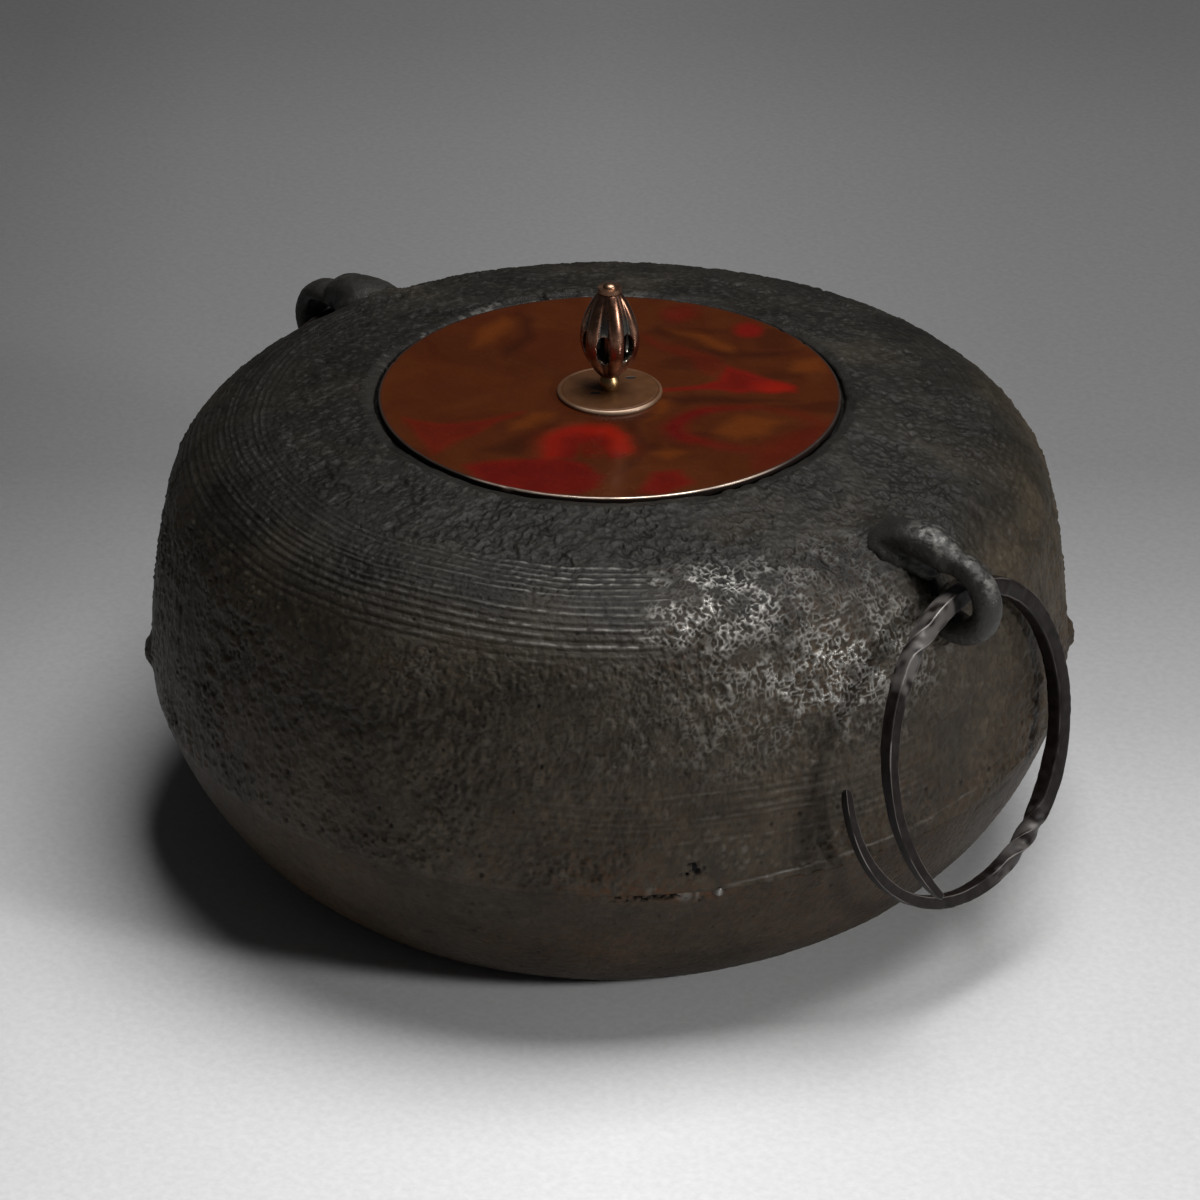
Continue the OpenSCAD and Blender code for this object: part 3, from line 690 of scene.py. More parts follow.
def build_lug(node):
    eye_angle, eye_height, turn, broad, tall, rub = LUGS[node]
    t = math.radians(turn)
    radial = np.array([math.cos(t), math.sin(t), 0])
    across = np.array([-math.sin(t), math.cos(t), 0])
    up_z = np.array([0, 0, 1.0])

    def heading(angle):
        a = math.radians(angle)
        out = math.cos(a) * radial + math.sin(a) * up_z
        return across, -math.sin(a) * radial + math.cos(a) * up_z, out

    def middle(angle, height):
        r, z = over_shoulder(angle, height)
        return r * radial + z * up_z

    eye = middle(eye_angle, eye_height)
    arch = eye - STRAP_DROP * heading(eye_angle)[1]
    beads = []
    for turned_by in np.linspace(STRAP_FROM, STRAP_TO, 20):
        axes = heading(eye_angle + turned_by)
        foot = ramp(-turned_by, 70, 140)
        beads.append((arch + STRAP_R * axes[2], axes, (broad * STRAP_ACROSS + 1.2 * foot, 3.0, STRAP_OUT)))
    for past in np.linspace(RIDGE[0, 0], RIDGE[-1, 0], 22):
        height, wide, thick = (np.interp(past, RIDGE[:, 0], column) for column in RIDGE.T[1:])
        angle = eye_angle + past
        beads.append((middle(angle, tall * height * eye_height), heading(angle), (wide, 4.0, thick)))
    for past, height, wide in SKIRT:
        beads.append((middle(eye_angle + past, height), heading(eye_angle + past), (wide, 5.0, 4.4)))
    points, faces = np.zeros((0, 3)), []
    for bead in beads:
        more, its_faces = ball(*bead)
        faces += [[v + len(points) for v in face] for face in its_faces]
        points = np.vstack([points, more])
    obj = add_mesh(node + "_skin", points, faces)
    melt(obj, 0.5, 20)
    p = points_of(obj.data) / MM
    lumps = 0.7 * noise(p, 4.4, 120) + 0.4 * noise(p, 1.6, 121)
    rough = 0.10 + 0.16 * ramp((p - eye) @ up_z, 0, 10)
    p = p + (rough * lumps)[:, None] * points_of(obj.data, "normal")
    # The eye stays clear for its ring
    out = (p - eye) - ((p - eye) @ across)[:, None] * across
    d = np.linalg.norm(out, axis=1)
    p += out * (np.maximum(EYE_R / np.maximum(d, 0.1), 1) - 1)[:, None]
    obj.data.vertices.foreach_set("co", (p * MM).ravel())
    obj.data.update()
    # The crest is rubbed bright
    crest = ramp((p - arch) @ heading(eye_angle + 35)[2], 7.5, 12.5) * ramp(d, 10.0, 12.0)
    rubbed = crest * ramp(noise(p, 1.3, 122) + 0.4 * noise(p, 0.6, 123), 0.0, 0.4)
    # Lumps painted lighter on their crests as light
    add_masks(obj, {"lift": 0.3 + 0.3 * lumps, "shine": 0.03 + rub * rubbed})
    return obj


# Rings: an open ring of square bar, twisted in two places, drawn out to a thin tail

RING_R, BAR_HALF = 43.4, 2.75
# How far a ring's middle hangs from its eye, and its lean from upright in degrees, by its lug
RING_HANG = 45.1
RING_LEAN = {"front_lug": 11.2385, "rear_lug": 7.7157}
# Places along the ring are degrees round it
LAP_START, RING_END, AT_EYE = 52.0, 455.0, 180.0
LEAD_IN, TAIL_OUT, TAIL_TURN = 13.4, 7.4, 100.0
# Thickness of the bar along the ring, as a share of its full one
TAPER = np.array([(52, 0.34), (62, 0.53), (100, 0.66), (140, 0.84), (165, 0.98), (310, 1.0), (345, 0.78),
                  (405, 0.6), (451, 0.46), (455, 0.36)])
QUARTER_TWIST, HALF_TWIST, ROUNDED = (142, 160), (312, 344), (188, 296)
RING_STEPS = 600
# About how many millimetres of bar there are in a degree
BAR_DEGREE = 0.76
# How square the bar is, and how much less where it is rounded
SQUARE, LESS_SQUARE = 10, 5.5
# Points of the section to either side of each corner of the bar, in degrees
BY_CORNER = np.array([-38, -27, -18, -11, -6.5, -3.5, -1.5, 1.5, 3.5, 6.5, 11, 18, 27, 38])


def build_ring(name, lug):
    eye_angle, eye_height, turn = LUGS[lug][:3]
    lean = math.radians(RING_LEAN[lug])
    side = np.array([0.0, 1.0, 0.0])
    down = np.array([math.sin(lean), 0, -math.cos(lean)])
    inward = np.array([-math.cos(lean), 0, -math.sin(lean)])
    eye_r, eye_z = over_shoulder(eye_angle, eye_height)
    centre = np.array([eye_r, 0, eye_z]) + RING_HANG * down

    def line(f):
        a = np.radians(f)[:, None]
        out = np.cos(a) * down - np.sin(a) * side
        shift = np.where(f < AT_EYE, -LEAD_IN * (AT_EYE - f) / (AT_EYE - LAP_START),
                         TAIL_OUT * (1 - np.maximum(0, 1 - (f - AT_EYE) / TAIL_TURN) ** 2))
        return centre + RING_R * out + shift[:, None] * inward, out

    phi = np.linspace(LAP_START, RING_END, RING_STEPS)
    at, out = line(phi)
    ahead = line(phi + 0.5)[0] - line(phi - 0.5)[0]
    ahead /= np.linalg.norm(ahead, axis=1)[:, None]
    across = np.cross(ahead, out)
    across /= np.linalg.norm(across, axis=1)[:, None]
    out = np.cross(across, ahead)
    half = BAR_HALF * np.interp(phi, *TAPER.T)
    twist = np.radians(90 * ramp(phi, *QUARTER_TWIST) + 180 * ramp(phi, *HALF_TWIST))
    sides = 4 * len(BY_CORNER)
    i = np.repeat(np.arange(RING_STEPS), sides)
    u = np.tile((45 + 90 * np.arange(4)[:, None] + BY_CORNER).ravel(), RING_STEPS)
    off = np.tile(np.tile(np.abs(BY_CORNER), 4), RING_STEPS)
    x, y = np.cos(np.radians(u)), np.sin(np.radians(u))
    # Square on the left and in the twists, rounder on the right
    square = SQUARE - LESS_SQUARE * window(phi, *ROUNDED, 10)[i]
    size = (np.abs(x) ** square + np.abs(y) ** square) ** (-1 / square)
    x, y = size * x, size * y
    c, sn = np.cos(twist[i]), np.sin(twist[i])
    px, py = x * c - y * sn, x * sn + y * c
    # Hammer marks along the bar, and rounded ends
    along = phi[i] * BAR_DEGREE
    q = np.c_[along, 2.2 * x, 2.2 * y]
    dent = 1 - 0.045 * (1 + noise(q, 4.5, 130)) - 0.025 * (1 + noise(q, 1.7, 131))
    end = np.clip(np.minimum(phi - LAP_START, RING_END - phi) / 1.6, 0, 1)
    dent *= np.sqrt(np.clip(1 - (1 - end) ** 2, 0.05, 1))[i]
    p = at[i] + (half[i] * dent)[:, None] * (px[:, None] * out[i] + py[:, None] * across[i])
    edge = tent(off, 5.0) * np.clip(0.5 + 1.0 * noise(np.c_[along, u, 0 * u], 6, 132), 0.05, 1)
    edge *= 0.35 + 0.65 * (square - SQUARE + LESS_SQUARE) / LESS_SQUARE
    scuffed = np.clip(0.5 + 0.8 * noise(q, 2.2, 133), 0, 1)
    worn = 0.6 * window(phi, 132, 178, 5) + 0.4 * window(phi, 318, 350, 6) + 0.03
    return add_mesh(name, spun(p, math.radians(turn)), grid_faces(RING_STEPS, sides, capped=True),
                    {"edge": edge, "worn": worn[i] * scuffed})


# Lid: a flat disc with a flowing patina of red, amber and dark brown

LID_R, LID_T, LID_Z, LID_EDGE = 64.4, 2.3, 130.9, 0.45

# Outlines as right and away from the middle, seen from the front of the kettle
RED_LEAF = [(-40, -45), (-27, -40), (-16, -40), (-8, -44), (-3, -51), (-4, -58), (-8, -62),
            (-22, -62), (-33, -57)]
RED_HOOK = [(-19, -40), (-18, -32), (-13, -24), (-6, -20), (0, -21), (4, -26), (4, -33), (1, -40),
            (-1, -40), (-3, -34), (-6, -31), (-9, -33), (-11, -41)]
RED_WEDGE = [(-57, -16), (-47, -20), (-36, -18), (-23, -12), (-33, -22), (-43, -31), (-49, -38), (-54, -28)]
RED_FLAME = [(12, 1), (24, 4), (31, 8), (34, 18), (43, 11), (52, 4), (52, 0), (38, 1), (24, 1)]
RED_WISP = [(8, 38), (17, 30), (34, 18), (31, 11), (20, 23), (10, 33)]
RED_CORNER = [(40, -36), (52, -24), (62, -17), (59, -30), (49, -42), (38, -47)]
RED_FOOT = [(12, -49), (19, -48), (22, -56), (16, -63), (9, -61)]
# Outline, softness of its edge, depth of the red, glow, and glow along the edge
REDS = ((RED_LEAF, 2.2, 0.95, 0.03, 0.06), (RED_HOOK, 2.0, 0.95, 0.06, 0.0),
        (RED_WEDGE, 2.4, 0.6, 0.0, 0.10), (RED_FLAME, 1.8, 0.9, 0.12, 0.12),
        (RED_WISP, 2.4, 0.35, 0.0, 0.05), (RED_CORNER, 3.6, 0.5, 0.0, 0.0), (RED_FOOT, 2.6, 0.9, 0.06, 0.05))
# Middle, half sizes, depth of the red and glow
RED_SPOTS = ((39, 41.5, 5.5, 6, 1.0, 0.2), (21, 52, 8, 7, 0.6, 0.0), (-6, -34, 5, 7, 0.65, 0.0))
# The glowing line of the hook, and the glowing tip of the flame
ARCH = [(-17, -38), (-15, -29), (-9, -24), (-2, -23.5), (2, -28), (2, -34)]
FLAME_TIP = (46, 3)
# A red loop: its middle and half sizes
LOOP = (38, -22.5, 20.0, 12.5)
AMBER_LEAVES = [
    [(-39, 28), (-33, 33), (-28, 47), (-31, 50), (-37, 40)],
    [(-26, -25), (-20, -23), (-16, -14), (-20, -13), (-25, -19)],
    [(11, -36), (15, -32), (20, -37), (15, -40)],
    [(10, -18), (13, -16), (17, -5), (13, -6)],
    [(14, 42), (25, 38), (35, 29), (36, 24), (27, 27), (18, 36)],
    [(52, 13), (60, 14), (61, 22), (54, 20)],
    [(29, -26), (36, -15), (47, -18), (44, -27), (35, -30)],
]
DARK_SWIRLS = [
    [(10, 40), (19, 33), (28, 22), (47, 22), (56, 27), (44, 26), (31, 26), (22, 36), (13, 44)],
    [(-8, -12), (6, -13), (10, -30), (6, -44), (2, -50), (4, -40), (6, -28), (1, -19), (-6, -18)],
    [(-36, -36), (-22, -28), (-14, -18), (-18, -30), (-24, -38)],
    [(16, -3), (34, -3), (52, -5), (34, -7), (20, -9)],
    [(-30, 22), (-22, 36), (-22, 48), (-27, 52), (-25, 38), (-31, 28)],
]


def from_line(q, line):
    """Distance of points from a line of points."""
    x, y = q.T
    near = np.full(len(q), 1e9)
    for (ax, ay), (bx, by) in zip(line, line[1:]):
        dx, dy = bx - ax, by - ay
        t = np.clip(((x - ax) * dx + (y - ay) * dy) / (dx ** 2 + dy ** 2), 0, 1)
        near = np.minimum(near, np.hypot(x - ax - t * dx, y - ay - t * dy))
    return near


def inside_of(q, outline, soft):
    """1 inside an outline and 0 outside it, with a soft edge, and the distance from its line."""
    x, y = q.T
    closed = outline + outline[:1]
    near = from_line(q, closed)
    odd = np.zeros(len(q), bool)
    for (ax, ay), (bx, by) in zip(closed, closed[1:]):
        level = by - ay if by != ay else 1e-9
        odd ^= ((ay > y) != (by > y)) & (x < (bx - ax) * (y - ay) / level + ax)
    return ramp(np.where(odd, near, -near), -soft, soft), near


def view_axes(p):
    """Right and away of points, seen from the front of the kettle."""
    return spun(p, -VIEW)[:, :2].T


def patina(p):
    """How red, glowing, amber and dark the lid is at each point."""
    x, y = view_axes(p)
    flat = np.c_[x, y, 0 * x]
    q = np.c_[x + 1.6 * noise(flat, 13, 140) + 0.5 * noise(flat, 5, 141),
              y + 1.6 * noise(flat, 13, 142) + 0.5 * noise(flat, 5, 143)]
    qx, qy = q.T
    red, hot, amber, dark = np.zeros((4, len(p)))
    for outline, soft, level, glow, rim in REDS:
        fill, near = inside_of(q, outline, soft)
        red = np.maximum(red, level * fill)
        hot = np.maximum(hot, fill * (glow + rim * hump(near, 0.8, 1.3)))
    for cx, cy, rx, ry, level, glow in RED_SPOTS:
        fill = 1 - ramp(np.hypot((qx - cx) / rx, (qy - cy) / ry), 0.35, 1.2)
        red = np.maximum(red, level * fill)
        hot = np.maximum(hot, glow * fill)
    cx, cy, rx, ry = LOOP
    ring = np.hypot((qx - cx) / rx, (qy - cy) / ry)
    fade = 0.35 + 0.65 * (1 - ramp(qx, 22, 44)) * (1 - 0.6 * ramp(-qy, 26, 36))
    red = np.maximum(red, hump(ring, 1, 0.17) * fade)
    # The hook glows along its arch, most at the right, and the flame at its tip
    arch = hump(from_line(q, ARCH), 0, 3.6) * (0.42 + 0.2 * ramp(qx, -12, 0))
    hot = np.maximum(hot, arch)
    hot = np.maximum(hot, 0.7 * hump(np.hypot(qx - FLAME_TIP[0], qy - FLAME_TIP[1]), 0, 7) * red)
    for outline in AMBER_LEAVES:
        amber = np.maximum(amber, inside_of(q, outline, 2.6)[0])
    for outline in DARK_SWIRLS:
        dark = np.maximum(dark, inside_of(q, outline, 2.8)[0])
    flow = noise(np.c_[x / 2.2, y, 0 * x], 10, 144) + 0.5 * noise(np.c_[x / 2.4, y, 0 * x], 5, 145)
    dark = np.maximum(0.8 * dark, 0.55 * ramp(flow, 0.1, 0.7) * ramp(x - 0.5 * y, -26, 22))
    # A patch painted dark as shade at the front edge of the washer
    dark = np.maximum(dark, hump(np.hypot(x, y + 15) / 7.5, 0, 1))
    return {"red": red, "hot": hot, "amber": amber * (1 - red), "dark": dark * (1 - red)}


def build_lid():
    top_z = LID_Z + LID_T
    below = spaced([[1.3, LID_Z], [LID_R - 3, LID_Z]], 3)
    side = [[LID_R - 0.3, LID_Z], [LID_R, LID_Z + 0.4], [LID_R, top_z - LID_EDGE - 0.2]]
    edge = arc((LID_R - LID_EDGE, top_z - LID_EDGE), LID_EDGE, 0, 90, 7)
    top = spaced([[LID_R - LID_EDGE - 0.2, top_z], [1.3, top_z]], 0.55)
    t = Turning(np.vstack([below, side, edge, top]), even_turns(480))
    under = len(below) + len(side)
    upper = t.row >= under
    wave = 0.12 * noise(t.p, 30, 150) + 0.02 * noise(t.p, 8, 151)
    nick = ramp(noise(t.p, 3.4, 152), 0.55, 0.9) * ramp(t.r, LID_R - 1.3, LID_R - 0.2)
    z = t.z + np.where(upper, wave * ramp(t.r, 15, 26) - 0.2 * nick, 0)
    r = t.r - np.where(upper, 0.25 * nick, 0)
    masks = patina(t.p)
    # The side and a thin band round the top's edge are painted dark as shade, and the upper edge is painted bright
    # at the front as a highlight
    corner = ramp(t.z, top_z - LID_EDGE, top_z - 0.1) * ramp(t.r, LID_R - 0.7, LID_R - 0.25)
    front = 0.02 + 0.98 * window(t.az, -76, -4, 9)
    masks["worn"] = corner * front * np.clip(0.8 + 0.6 * noise(t.p, 6, 153), 0, 1)
    by_edge = 1 - ramp(LID_R - t.r, LID_EDGE - 0.1, LID_EDGE + 0.5)
    masks["soot"] = np.where(upper, by_edge, 1.0) * (1 - masks["worn"])
    obj = add_mesh("lid_skin", t.at(r, z), grid_faces(t.rows, t.turns, True), masks)
    lay_out(obj, t, under, share=0.1)
    return obj


# Knob: a washer, a bead, a pierced bud, a cap and a rivet's head

WASHER_R, WASHER_Z, WASHER_T = 14.7, 133.2, 1.2
STEM_R = 1.4
BUD_Z, BUD_H, BUD_R = 138.5, 25.6, 8.4
BUD_FOOT, BUD_TIP, BUD_WIDEST, BUD_FULL = 2.2, 2.8, 0.44, 0.78
LOBES, GROOVE, BUD_WALL = 6, 1.7, 1.1
# Half a lobe and half a rib, in degrees round the bud
LOBE_HALF, RIB_HALF = 180 / LOBES, 19.0
HOLE_HALF_W, HOLE_HALF_H, HOLE_AT = 2.0, 4.2, 0.4
# Shares of the bud's height between which it is hollow, and radii between which its holes are cut
HOLLOW_FROM, HOLLOW_TO = 0.1, 0.86
CUT_FROM, CUT_TO, CUT_POINTS = 2.0, 12.0, 20
# Small slits in the washer, as right and away from the middle
SLITS = ((-4.1, -2.6), (5.9, 7.2))


def build_washer():
    bottom, top = WASHER_Z, WASHER_Z + WASHER_T
    profile = np.vstack([
        [[WASHER_R - 0.05, bottom]], arc((WASHER_R - 0.7, top - 0.7), 0.7, 0, 90, 7),
        [[WASHER_R - 1.05, top], [WASHER_R - 1.2, top - 0.12], [WASHER_R - 1.45, top - 0.12]],
        spaced([[WASHER_R - 1.6, top], [STEM_R, top]], 0.2), [[STEM_R, bottom]]])
    t = Turning(profile, even_turns(240))
    x, y = view_axes(t.p)
    slit = np.zeros(len(x))
    for sx, sy in SLITS:
        slit = np.maximum(slit, 1 - ramp(np.hypot((x - sx) / 1.7, (y - sy) / 0.8), 0.6, 1.1))
    slit *= t.z > top - 0.3
    # A painted highlight on the washer's front edge, and its slits painted black as shade
    front = 0.10 + 0.5 * window(t.az, -84, 4, 16)
    return add_mesh("washer_skin", t.at(t.r, t.z - 0.2 * slit), grid_faces(t.rows, t.turns, True),
                    {"inner": 1.5 * slit, "bright": front * ramp(t.r, WASHER_R - 0.9, WASHER_R - 0.4)})


def bud_crest(t):
    """Radius of the bud's ribs and depth of its grooves, from 0 at its foot to 1 at its tip."""
    rise = np.where(t < BUD_WIDEST, 0.5 * t / BUD_WIDEST, 0.5 + 0.5 * (t - BUD_WIDEST) / (1 - BUD_WIDEST))
    wave = np.maximum(np.sin(np.pi * np.clip(rise, 0, 1)), 0)
    line = BUD_FOOT + (BUD_TIP - BUD_FOOT) * t
    return line + (BUD_R - line) * wave ** BUD_FULL, wave ** 0.9


def from_groove(a):
    """Degrees from the middle of the nearest groove of the bud."""
    return np.abs((np.degrees(a) + LOBE_HALF) % (2 * LOBE_HALF) - LOBE_HALF)


def build_bud():
    rows, turns = 90, 180
    t = np.repeat(np.linspace(0, 1, rows), turns)
    a = np.tile(np.linspace(0, 2 * np.pi, turns, endpoint=False), rows)
    crest, deep = bud_crest(t)
    rib = np.sqrt(np.clip(1 - ((LOBE_HALF - from_groove(a)) / RIB_HALF) ** 2, 0, 1))
    r = crest - GROOVE * deep * (1 - rib)
    bud = add_mesh("bud_skin", np.c_[r * np.cos(a), r * np.sin(a), BUD_Z + t * BUD_H],
                   grid_faces(rows, turns, capped=True))
    th = np.linspace(HOLLOW_FROM, HOLLOW_TO, 24)
    wide, deep = bud_crest(th)
    hollow = np.maximum(STEM_R + 0.3, wide - GROOVE * deep - BUD_WALL)
    profile = np.vstack([[[0.02, BUD_Z + HOLLOW_FROM * BUD_H]], np.c_[hollow, BUD_Z + th * BUD_H],
                         [[0.02, BUD_Z + HOLLOW_TO * BUD_H]]])
    tools = [turned("bud_hollow", profile, turns=48)]
    u = np.linspace(0, 2 * np.pi, CUT_POINTS, endpoint=False)
    wide = HOLE_HALF_W * np.sign(np.cos(u)) * np.abs(np.cos(u)) ** 0.8
    tall = HOLE_HALF_H * np.sign(np.sin(u)) * np.abs(np.sin(u)) ** 0.9 + BUD_Z + HOLE_AT * BUD_H
    for k in range(LOBES):
        p = np.vstack([np.c_[np.full(CUT_POINTS, x), wide, tall] for x in (CUT_FROM, CUT_TO)])
        p = spun(p, 2 * math.pi * k / LOBES)
        tools.append(add_mesh(f"bud_cut_{k}", p, grid_faces(2, CUT_POINTS, capped=True)))
    for tool in tools:
        cut = bud.modifiers.new("cut", "BOOLEAN")
        cut.operation = "DIFFERENCE"
        cut.object = tool
        cut.solver = "EXACT"
    melt(bud, 0.17, 3)
    for tool in tools:
        bpy.data.objects.remove(tool)
    p = points_of(bud.data) / MM
    x, y, z = p.T
    crest = bud_crest((z - BUD_Z) / BUD_H)[0]
    depth = crest - np.hypot(x, y)
    off = np.radians(from_groove(np.arctan2(y, x))) * crest
    by_hole = hump(np.hypot(off / HOLE_HALF_W, (z - BUD_Z - HOLE_AT * BUD_H) / HOLE_HALF_H), 1.02, 0.16)
    broken = np.clip(0.55 + 0.9 * noise(p, 1.4, 160), 0, 1)
    # The inside of the bud is painted black as shade, the cut edges round its holes bright and its grooves tarnished
    add_masks(bud, {"inner": ramp(depth, GROOVE + 0.4, GROOVE + 1.1), "bright": by_hole * broken,
                    "tarnish": ramp(depth, 0.7, 1.4)})
    return bud


# Finishes, where a pair of colours is that of hollows and crests, painted darker and lighter as shade and light, or
# dark and light

TOP_SKIN = ((0.0080, 0.0074, 0.0062), (0.023, 0.0213, 0.0180))
SIDE_SKIN = ((0.0258, 0.0200, 0.0134), (0.062, 0.0485, 0.0325))
PAN_SKIN = ((0.0190, 0.0142, 0.0095), (0.046, 0.0345, 0.0232))
RUST, PIT_BLACK, BARE_IRON = (0.068, 0.030, 0.011), (0.002, 0.0017, 0.0014), (0.32, 0.308, 0.285)
FORGED_SKIN = ((0.0050, 0.0034, 0.0031), (0.0135, 0.0088, 0.0078))
FORGED_WORN, FORGED_EDGE = (0.20, 0.185, 0.175), (0.34, 0.31, 0.29)
LID_BROWN = ((0.047, 0.0096, 0.0023), (0.061, 0.0143, 0.0032))
LID_RED = ((0.069, 0.0032, 0.0020), (0.094, 0.0044, 0.0025))
LID_AMBER, LID_DARK, LID_HOT = (0.088, 0.0205, 0.0030), (0.020, 0.0042, 0.0014), (0.24, 0.0085, 0.0024)
# Dark painted as shade on the lid's side and round its edge, and a painted highlight on its front edge
LID_SOOT, LID_WORN = (0.012, 0.006, 0.004), (0.58, 0.47, 0.38)
# Tarnish, and black painted as shade inside the hollow bud and in the washer's slits
TARNISH, HOLE_BLACK = (0.10, 0.096, 0.088), (0.004, 0.003, 0.0026)
PUTTY_SKIN = ((0.012, 0.009, 0.006), (0.030, 0.020, 0.012))


def cast_iron(name, top, side, gloss, sheen):
    """Iron skin, with colours for the top and for the side."""
    f = Finish(name, Specular_IOR_Level=sheen)
    lift = f.mix(0.25, f.mask("lift"), f.ramp(f.noise(0.9, 4, 0.6), (0.3, 0), (0.7, 1)))
    colour = f.mix(f.mask("brown"), f.mix(lift, *top), f.mix(lift, *side))
    cloud = f.ramp(f.noise(17, 5, 0.6, 0.4), (0.36, 0.72), (0.64, 1.28))
    colour = f.mix(1.0, colour, cloud, "MULTIPLY")
    rust = f.times(f.mask("rust"), f.ramp(f.noise(2.6, 6, 0.7), (0.42, 0.0), (0.62, 1.0)))
    # Pale shiny iron on ridges, partly a painted highlight, and black in pits and in painted shade
    f.set("Base Color", f.coat(f.mix(rust, colour, RUST), pit=PIT_BLACK, shine=BARE_IRON))
    f.set("Metallic", f.times(f.mask("shine"), 0.9))
    rough = f.ramp(f.noise(1.6, 4, 0.6), (0.3, gloss + 0.12), (0.7, gloss - 0.06))
    f.set("Roughness", f.mix(f.mask("shine"), rough, (0.23, 0.23, 0.23)))
    f.bump(f.noise(1.5, 5, 0.68), 0.8, 0.5)
    return f.material


def forged_iron():
    f = Finish("forged_iron", Specular_IOR_Level=0.12)
    grain = f.ramp(f.noise(1.5, 5, 0.65), (0.32, 0.0), (0.7, 1.0))
    f.set("Base Color", f.coat(f.mix(grain, *FORGED_SKIN), worn=FORGED_WORN, edge=FORGED_EDGE))
    f.set("Metallic", f.mix(0.7, f.mask("edge"), f.mask("worn"), "LIGHTEN"))
    f.set("Roughness", f.ramp(f.noise(2.4, 4, 0.6), (0.3, 0.46), (0.7, 0.30)))
    f.bump(f.noise(1.1, 5, 0.65), 0.55, 0.12)
    return f.material


def lid_patina():
    f = Finish("lid_copper", Specular_IOR_Level=0.25)
    cloud = f.ramp(f.noise(17, 4, 0.55, 0.6), (0.35, 0.0), (0.66, 1.0))
    colour = f.coat(f.mix(cloud, *LID_BROWN), amber=LID_AMBER)
    colour = f.mix(f.times(f.mask("dark"), 0.8), colour, LID_DARK)
    blotch = f.ramp(f.noise(9, 4, 0.6), (0.35, 0.0), (0.65, 1.0))
    colour = f.coat(colour, red=f.mix(blotch, *LID_RED), hot=LID_HOT)
    fine = f.ramp(f.noise(1.2, 5, 0.7), (0.3, 0.86), (0.7, 1.08))
    colour = f.mix(1.0, colour, fine, "MULTIPLY")
    # Painted shade on the side and edge, and a painted highlight on the front edge
    f.set("Base Color", f.coat(colour, soot=LID_SOOT, worn=LID_WORN))
    f.set("Metallic", f.times(f.mask("worn"), 0.9))
    rough = f.ramp(f.noise(5, 5, 0.7), (0.35, 0.20), (0.7, 0.30))
    f.set("Roughness", f.mix(f.mask("soot"), rough, (0.6, 0.6, 0.6)))
    f.bump(f.noise(2.5, 4, 0.6), 0.12, 0.05)
    return f.material


def copper(name, dark, light, bright, gloss, metal):
    f = Finish(name, Metallic=metal)
    colour = f.mix(f.ramp(f.noise(2.6, 5, 0.6), (0.3, 0), (0.7, 1)), dark, light)
    f.set("Base Color", f.coat(colour, tarnish=TARNISH, bright=bright, inner=HOLE_BLACK))
    rough = f.ramp(f.noise(1.3, 4, 0.6), (0.3, gloss + 0.1), (0.7, gloss - 0.05))
    f.set("Roughness", f.mix(f.mask("inner"), rough, (0.9, 0.9, 0.9)))
    f.bump(f.noise(0.7, 4, 0.6), 0.25, 0.04)
    return f.material


def dark_putty():
    f = Finish("lacquer_putty")
    f.set("Base Color", f.mix(f.noise(2.0, 5, 0.6), *PUTTY_SKIN))
    f.set("Roughness", f.ramp(f.noise(1.5, 4, 0.6), (0.3, 0.7), (0.7, 0.5)))
    f.bump(f.noise(0.9, 4, 0.6), 0.4, 0.1)
    return f.material


IRON = cast_iron("kettle_iron", TOP_SKIN, SIDE_SKIN, gloss=0.40, sheen=0.16)
LUG_IRON = cast_iron("lug_iron", TOP_SKIN, SIDE_SKIN, gloss=0.28, sheen=0.36)
PAN_IRON = cast_iron("pan_iron", PAN_SKIN, PAN_SKIN, gloss=0.46, sheen=0.14)
FORGED = forged_iron()
LID_COPPER = lid_patina()
KNOB_COPPER = copper("knob_copper", (0.22, 0.105, 0.066), (0.40, 0.215, 0.145), (0.62, 0.58, 0.48),
                     gloss=0.27, metal=1.0)
CAP_COPPER = copper("cap_copper", (0.30, 0.165, 0.10), (0.46, 0.285, 0.19), (0.6, 0.5, 0.4),
                    gloss=0.30, metal=1.0)
WASHER_COPPER = copper("washer_copper", (0.080, 0.0305, 0.0100), (0.118, 0.049, 0.0175), (0.56, 0.40, 0.28),
                       gloss=0.38, metal=0.35)
BRASS = copper("bead_brass", (0.40, 0.26, 0.115), (0.56, 0.385, 0.19), (0.7, 0.6, 0.4),
               gloss=0.36, metal=1.0)
PUTTY = dark_putty()

# Pieces in place

place(build_shell(), "kettle", IRON, "kettle_iron", "upper_shell")
place(build_pan(), "kettle", PAN_IRON, "pan_iron", "bottom_pan")
place(build_putty(), "kettle", PUTTY, "lacquer_putty", "joint_putty")
place(build_lug("front_lug"), "kettle", LUG_IRON, "kettle_iron", "front_lug")
place(build_lug("rear_lug"), "kettle", IRON, "kettle_iron", "rear_lug")
place(build_ring("front_ring_skin", "front_lug"), "front_ring", FORGED, "forged_iron", "front_ring")
place(build_ring("rear_ring_skin", "rear_lug"), "rear_ring", FORGED, "forged_iron", "rear_ring")
place(build_lid(), "lid", LID_COPPER, "lid_copper", "lid_plate")
place(build_washer(), "lid", WASHER_COPPER, "knob_copper", "knob_washer")
place(build_bud(), "knob", KNOB_COPPER, "knob_copper", "knob_bud")

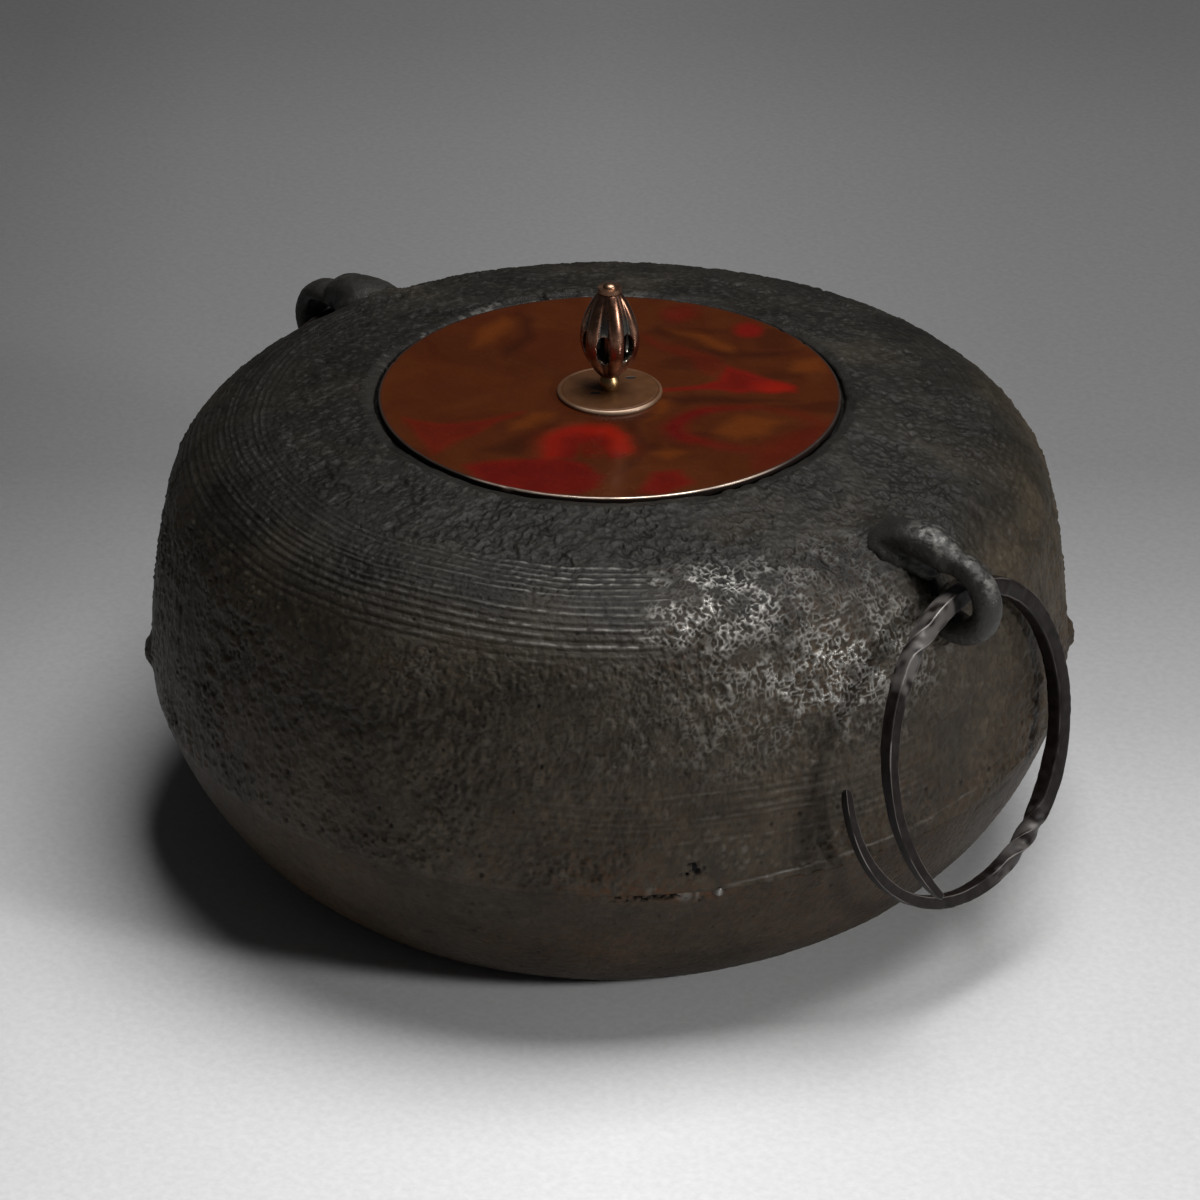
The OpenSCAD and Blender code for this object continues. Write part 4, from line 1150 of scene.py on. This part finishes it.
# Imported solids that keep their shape, with rounded edges
PLAIN = {"singing_irons": PAN_IRON, "lid_flange": LID_COPPER, "under_washer": WASHER_COPPER,
         "knob_foot": BRASS, "knob_cap": CAP_COPPER, "knob_rivet": CAP_COPPER}
EDGE_ROUND = 0.25
for node, material in PLAIN.items():
    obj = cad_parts[node]
    obj.data.materials.clear()
    obj.data.materials.append(material)
    round_off = obj.modifiers.new("round_off", "BEVEL")
    round_off.width = EDGE_ROUND * MM
    round_off.segments = 3
    round_off.limit_method = "ANGLE"

# Camera: the photograph's angle

PITCH, LENS, SENSOR = math.radians(28.525), 133.35, 36
DISTANCE, SLIDE, LIFT = 1.3, -0.0027, 0.0593
up = Vector((0, 0, 1))
away = Vector((-math.sin(VIEW), math.cos(VIEW), 0))
right = Vector((math.cos(VIEW), math.sin(VIEW), 0))
ahead = away * math.cos(PITCH) - up * math.sin(PITCH)
above = away * math.sin(PITCH) + up * math.cos(PITCH)
camera = bpy.data.objects.new("camera", bpy.data.cameras.new("camera"))
camera.data.lens = LENS
camera.data.sensor_width = SENSOR
camera.data.clip_start = 0.05
stand = ahead * -DISTANCE + right * SLIDE + above * LIFT
camera.matrix_world = Matrix.Translation(stand) @ Matrix((right, above, -ahead)).transposed().to_4x4()
scene.collection.objects.link(camera)
scene.camera = camera


# Floor: pale paper, with a painted fall-off of light to grey behind and to the sides

FLOOR_REACH, FLOOR_Z = 6000, -0.3
# Painted fall-off of light on the paper by metres away and to the right, counted with the kettle's middle at
# FLOOR_MIDDLE
FLOOR_MIDDLE = 0.3
TONE_AWAY = ((0.10, 0.78), (0.22, 0.69), (0.30, 0.56), (0.35, 0.44), (0.44, 0.31), (0.52, 0.23),
             (0.60, 0.22), (0.80, 0.215), (0.92, 0.19))
TONE_RIGHT = ((0.07, 0.78), (0.145, 0.95), (0.30, 1.05), (0.45, 0.84), (0.53, 0.79))


def build_floor():
    corners = [(x * FLOOR_REACH, y * FLOOR_REACH, FLOOR_Z) for x, y in ((-1, -1), (1, -1), (1, 1), (-1, 1))]
    floor = add_mesh("floor", corners, [[0, 1, 2, 3]])
    f = Finish("floor_paper", Roughness=0.9, Specular_IOR_Level=0.1)
    m = f.new("Mapping", Rotation=(0, 0, -VIEW), Location=(FLOOR_MIDDLE, FLOOR_MIDDLE, 0), Vector=f.where)
    split = f.new("SeparateXYZ", Vector=m.outputs[0])
    tone = f.ramp(split.outputs["Y"], *TONE_AWAY)
    dim = f.ramp(split.outputs["X"], *TONE_RIGHT)
    speck = f.ramp(f.noise(2.2, 3, 0.6), (0.3, 0.95), (0.7, 1.05))
    f.set("Base Color", f.mix(1.0, f.mix(1.0, tone, dim, "MULTIPLY"), speck, "MULTIPLY"))
    floor.data.materials.append(f.material)


# Light: a wide lamp overhead and a small one low at the right front, in a dim room

# Metres to the right, away and up, width in metres and watts, aimed at LIT_MIDDLE
LAMPS = {"overhead": (0.25, 0.03, 1.25, 0.7, 16), "key": (1.2, -0.81, 0.65, 0.2, 10)}
LIT_MIDDLE = up * 0.08
ROOM_COLOUR, ROOM_LIGHT = (0.95, 0.97, 1.0, 1), 0.025

build_floor()
for name, (to_right, to_back, to_top, size, power) in LAMPS.items():
    data = bpy.data.lights.new(name, "AREA")
    data.shape = "SQUARE"
    data.size = size
    data.energy = power
    obj = bpy.data.objects.new(name, data)
    stand_at = right * to_right + away * to_back + up * to_top
    obj.location = stand_at
    obj.rotation_euler = (LIT_MIDDLE - stand_at).to_track_quat("-Z", "Y").to_euler()
    scene.collection.objects.link(obj)
scene.world = bpy.data.worlds.new("room")
scene.world.use_nodes = True
room = scene.world.node_tree.nodes["Background"]
room.inputs[0].default_value = ROOM_COLOUR
room.inputs[1].default_value = ROOM_LIGHT
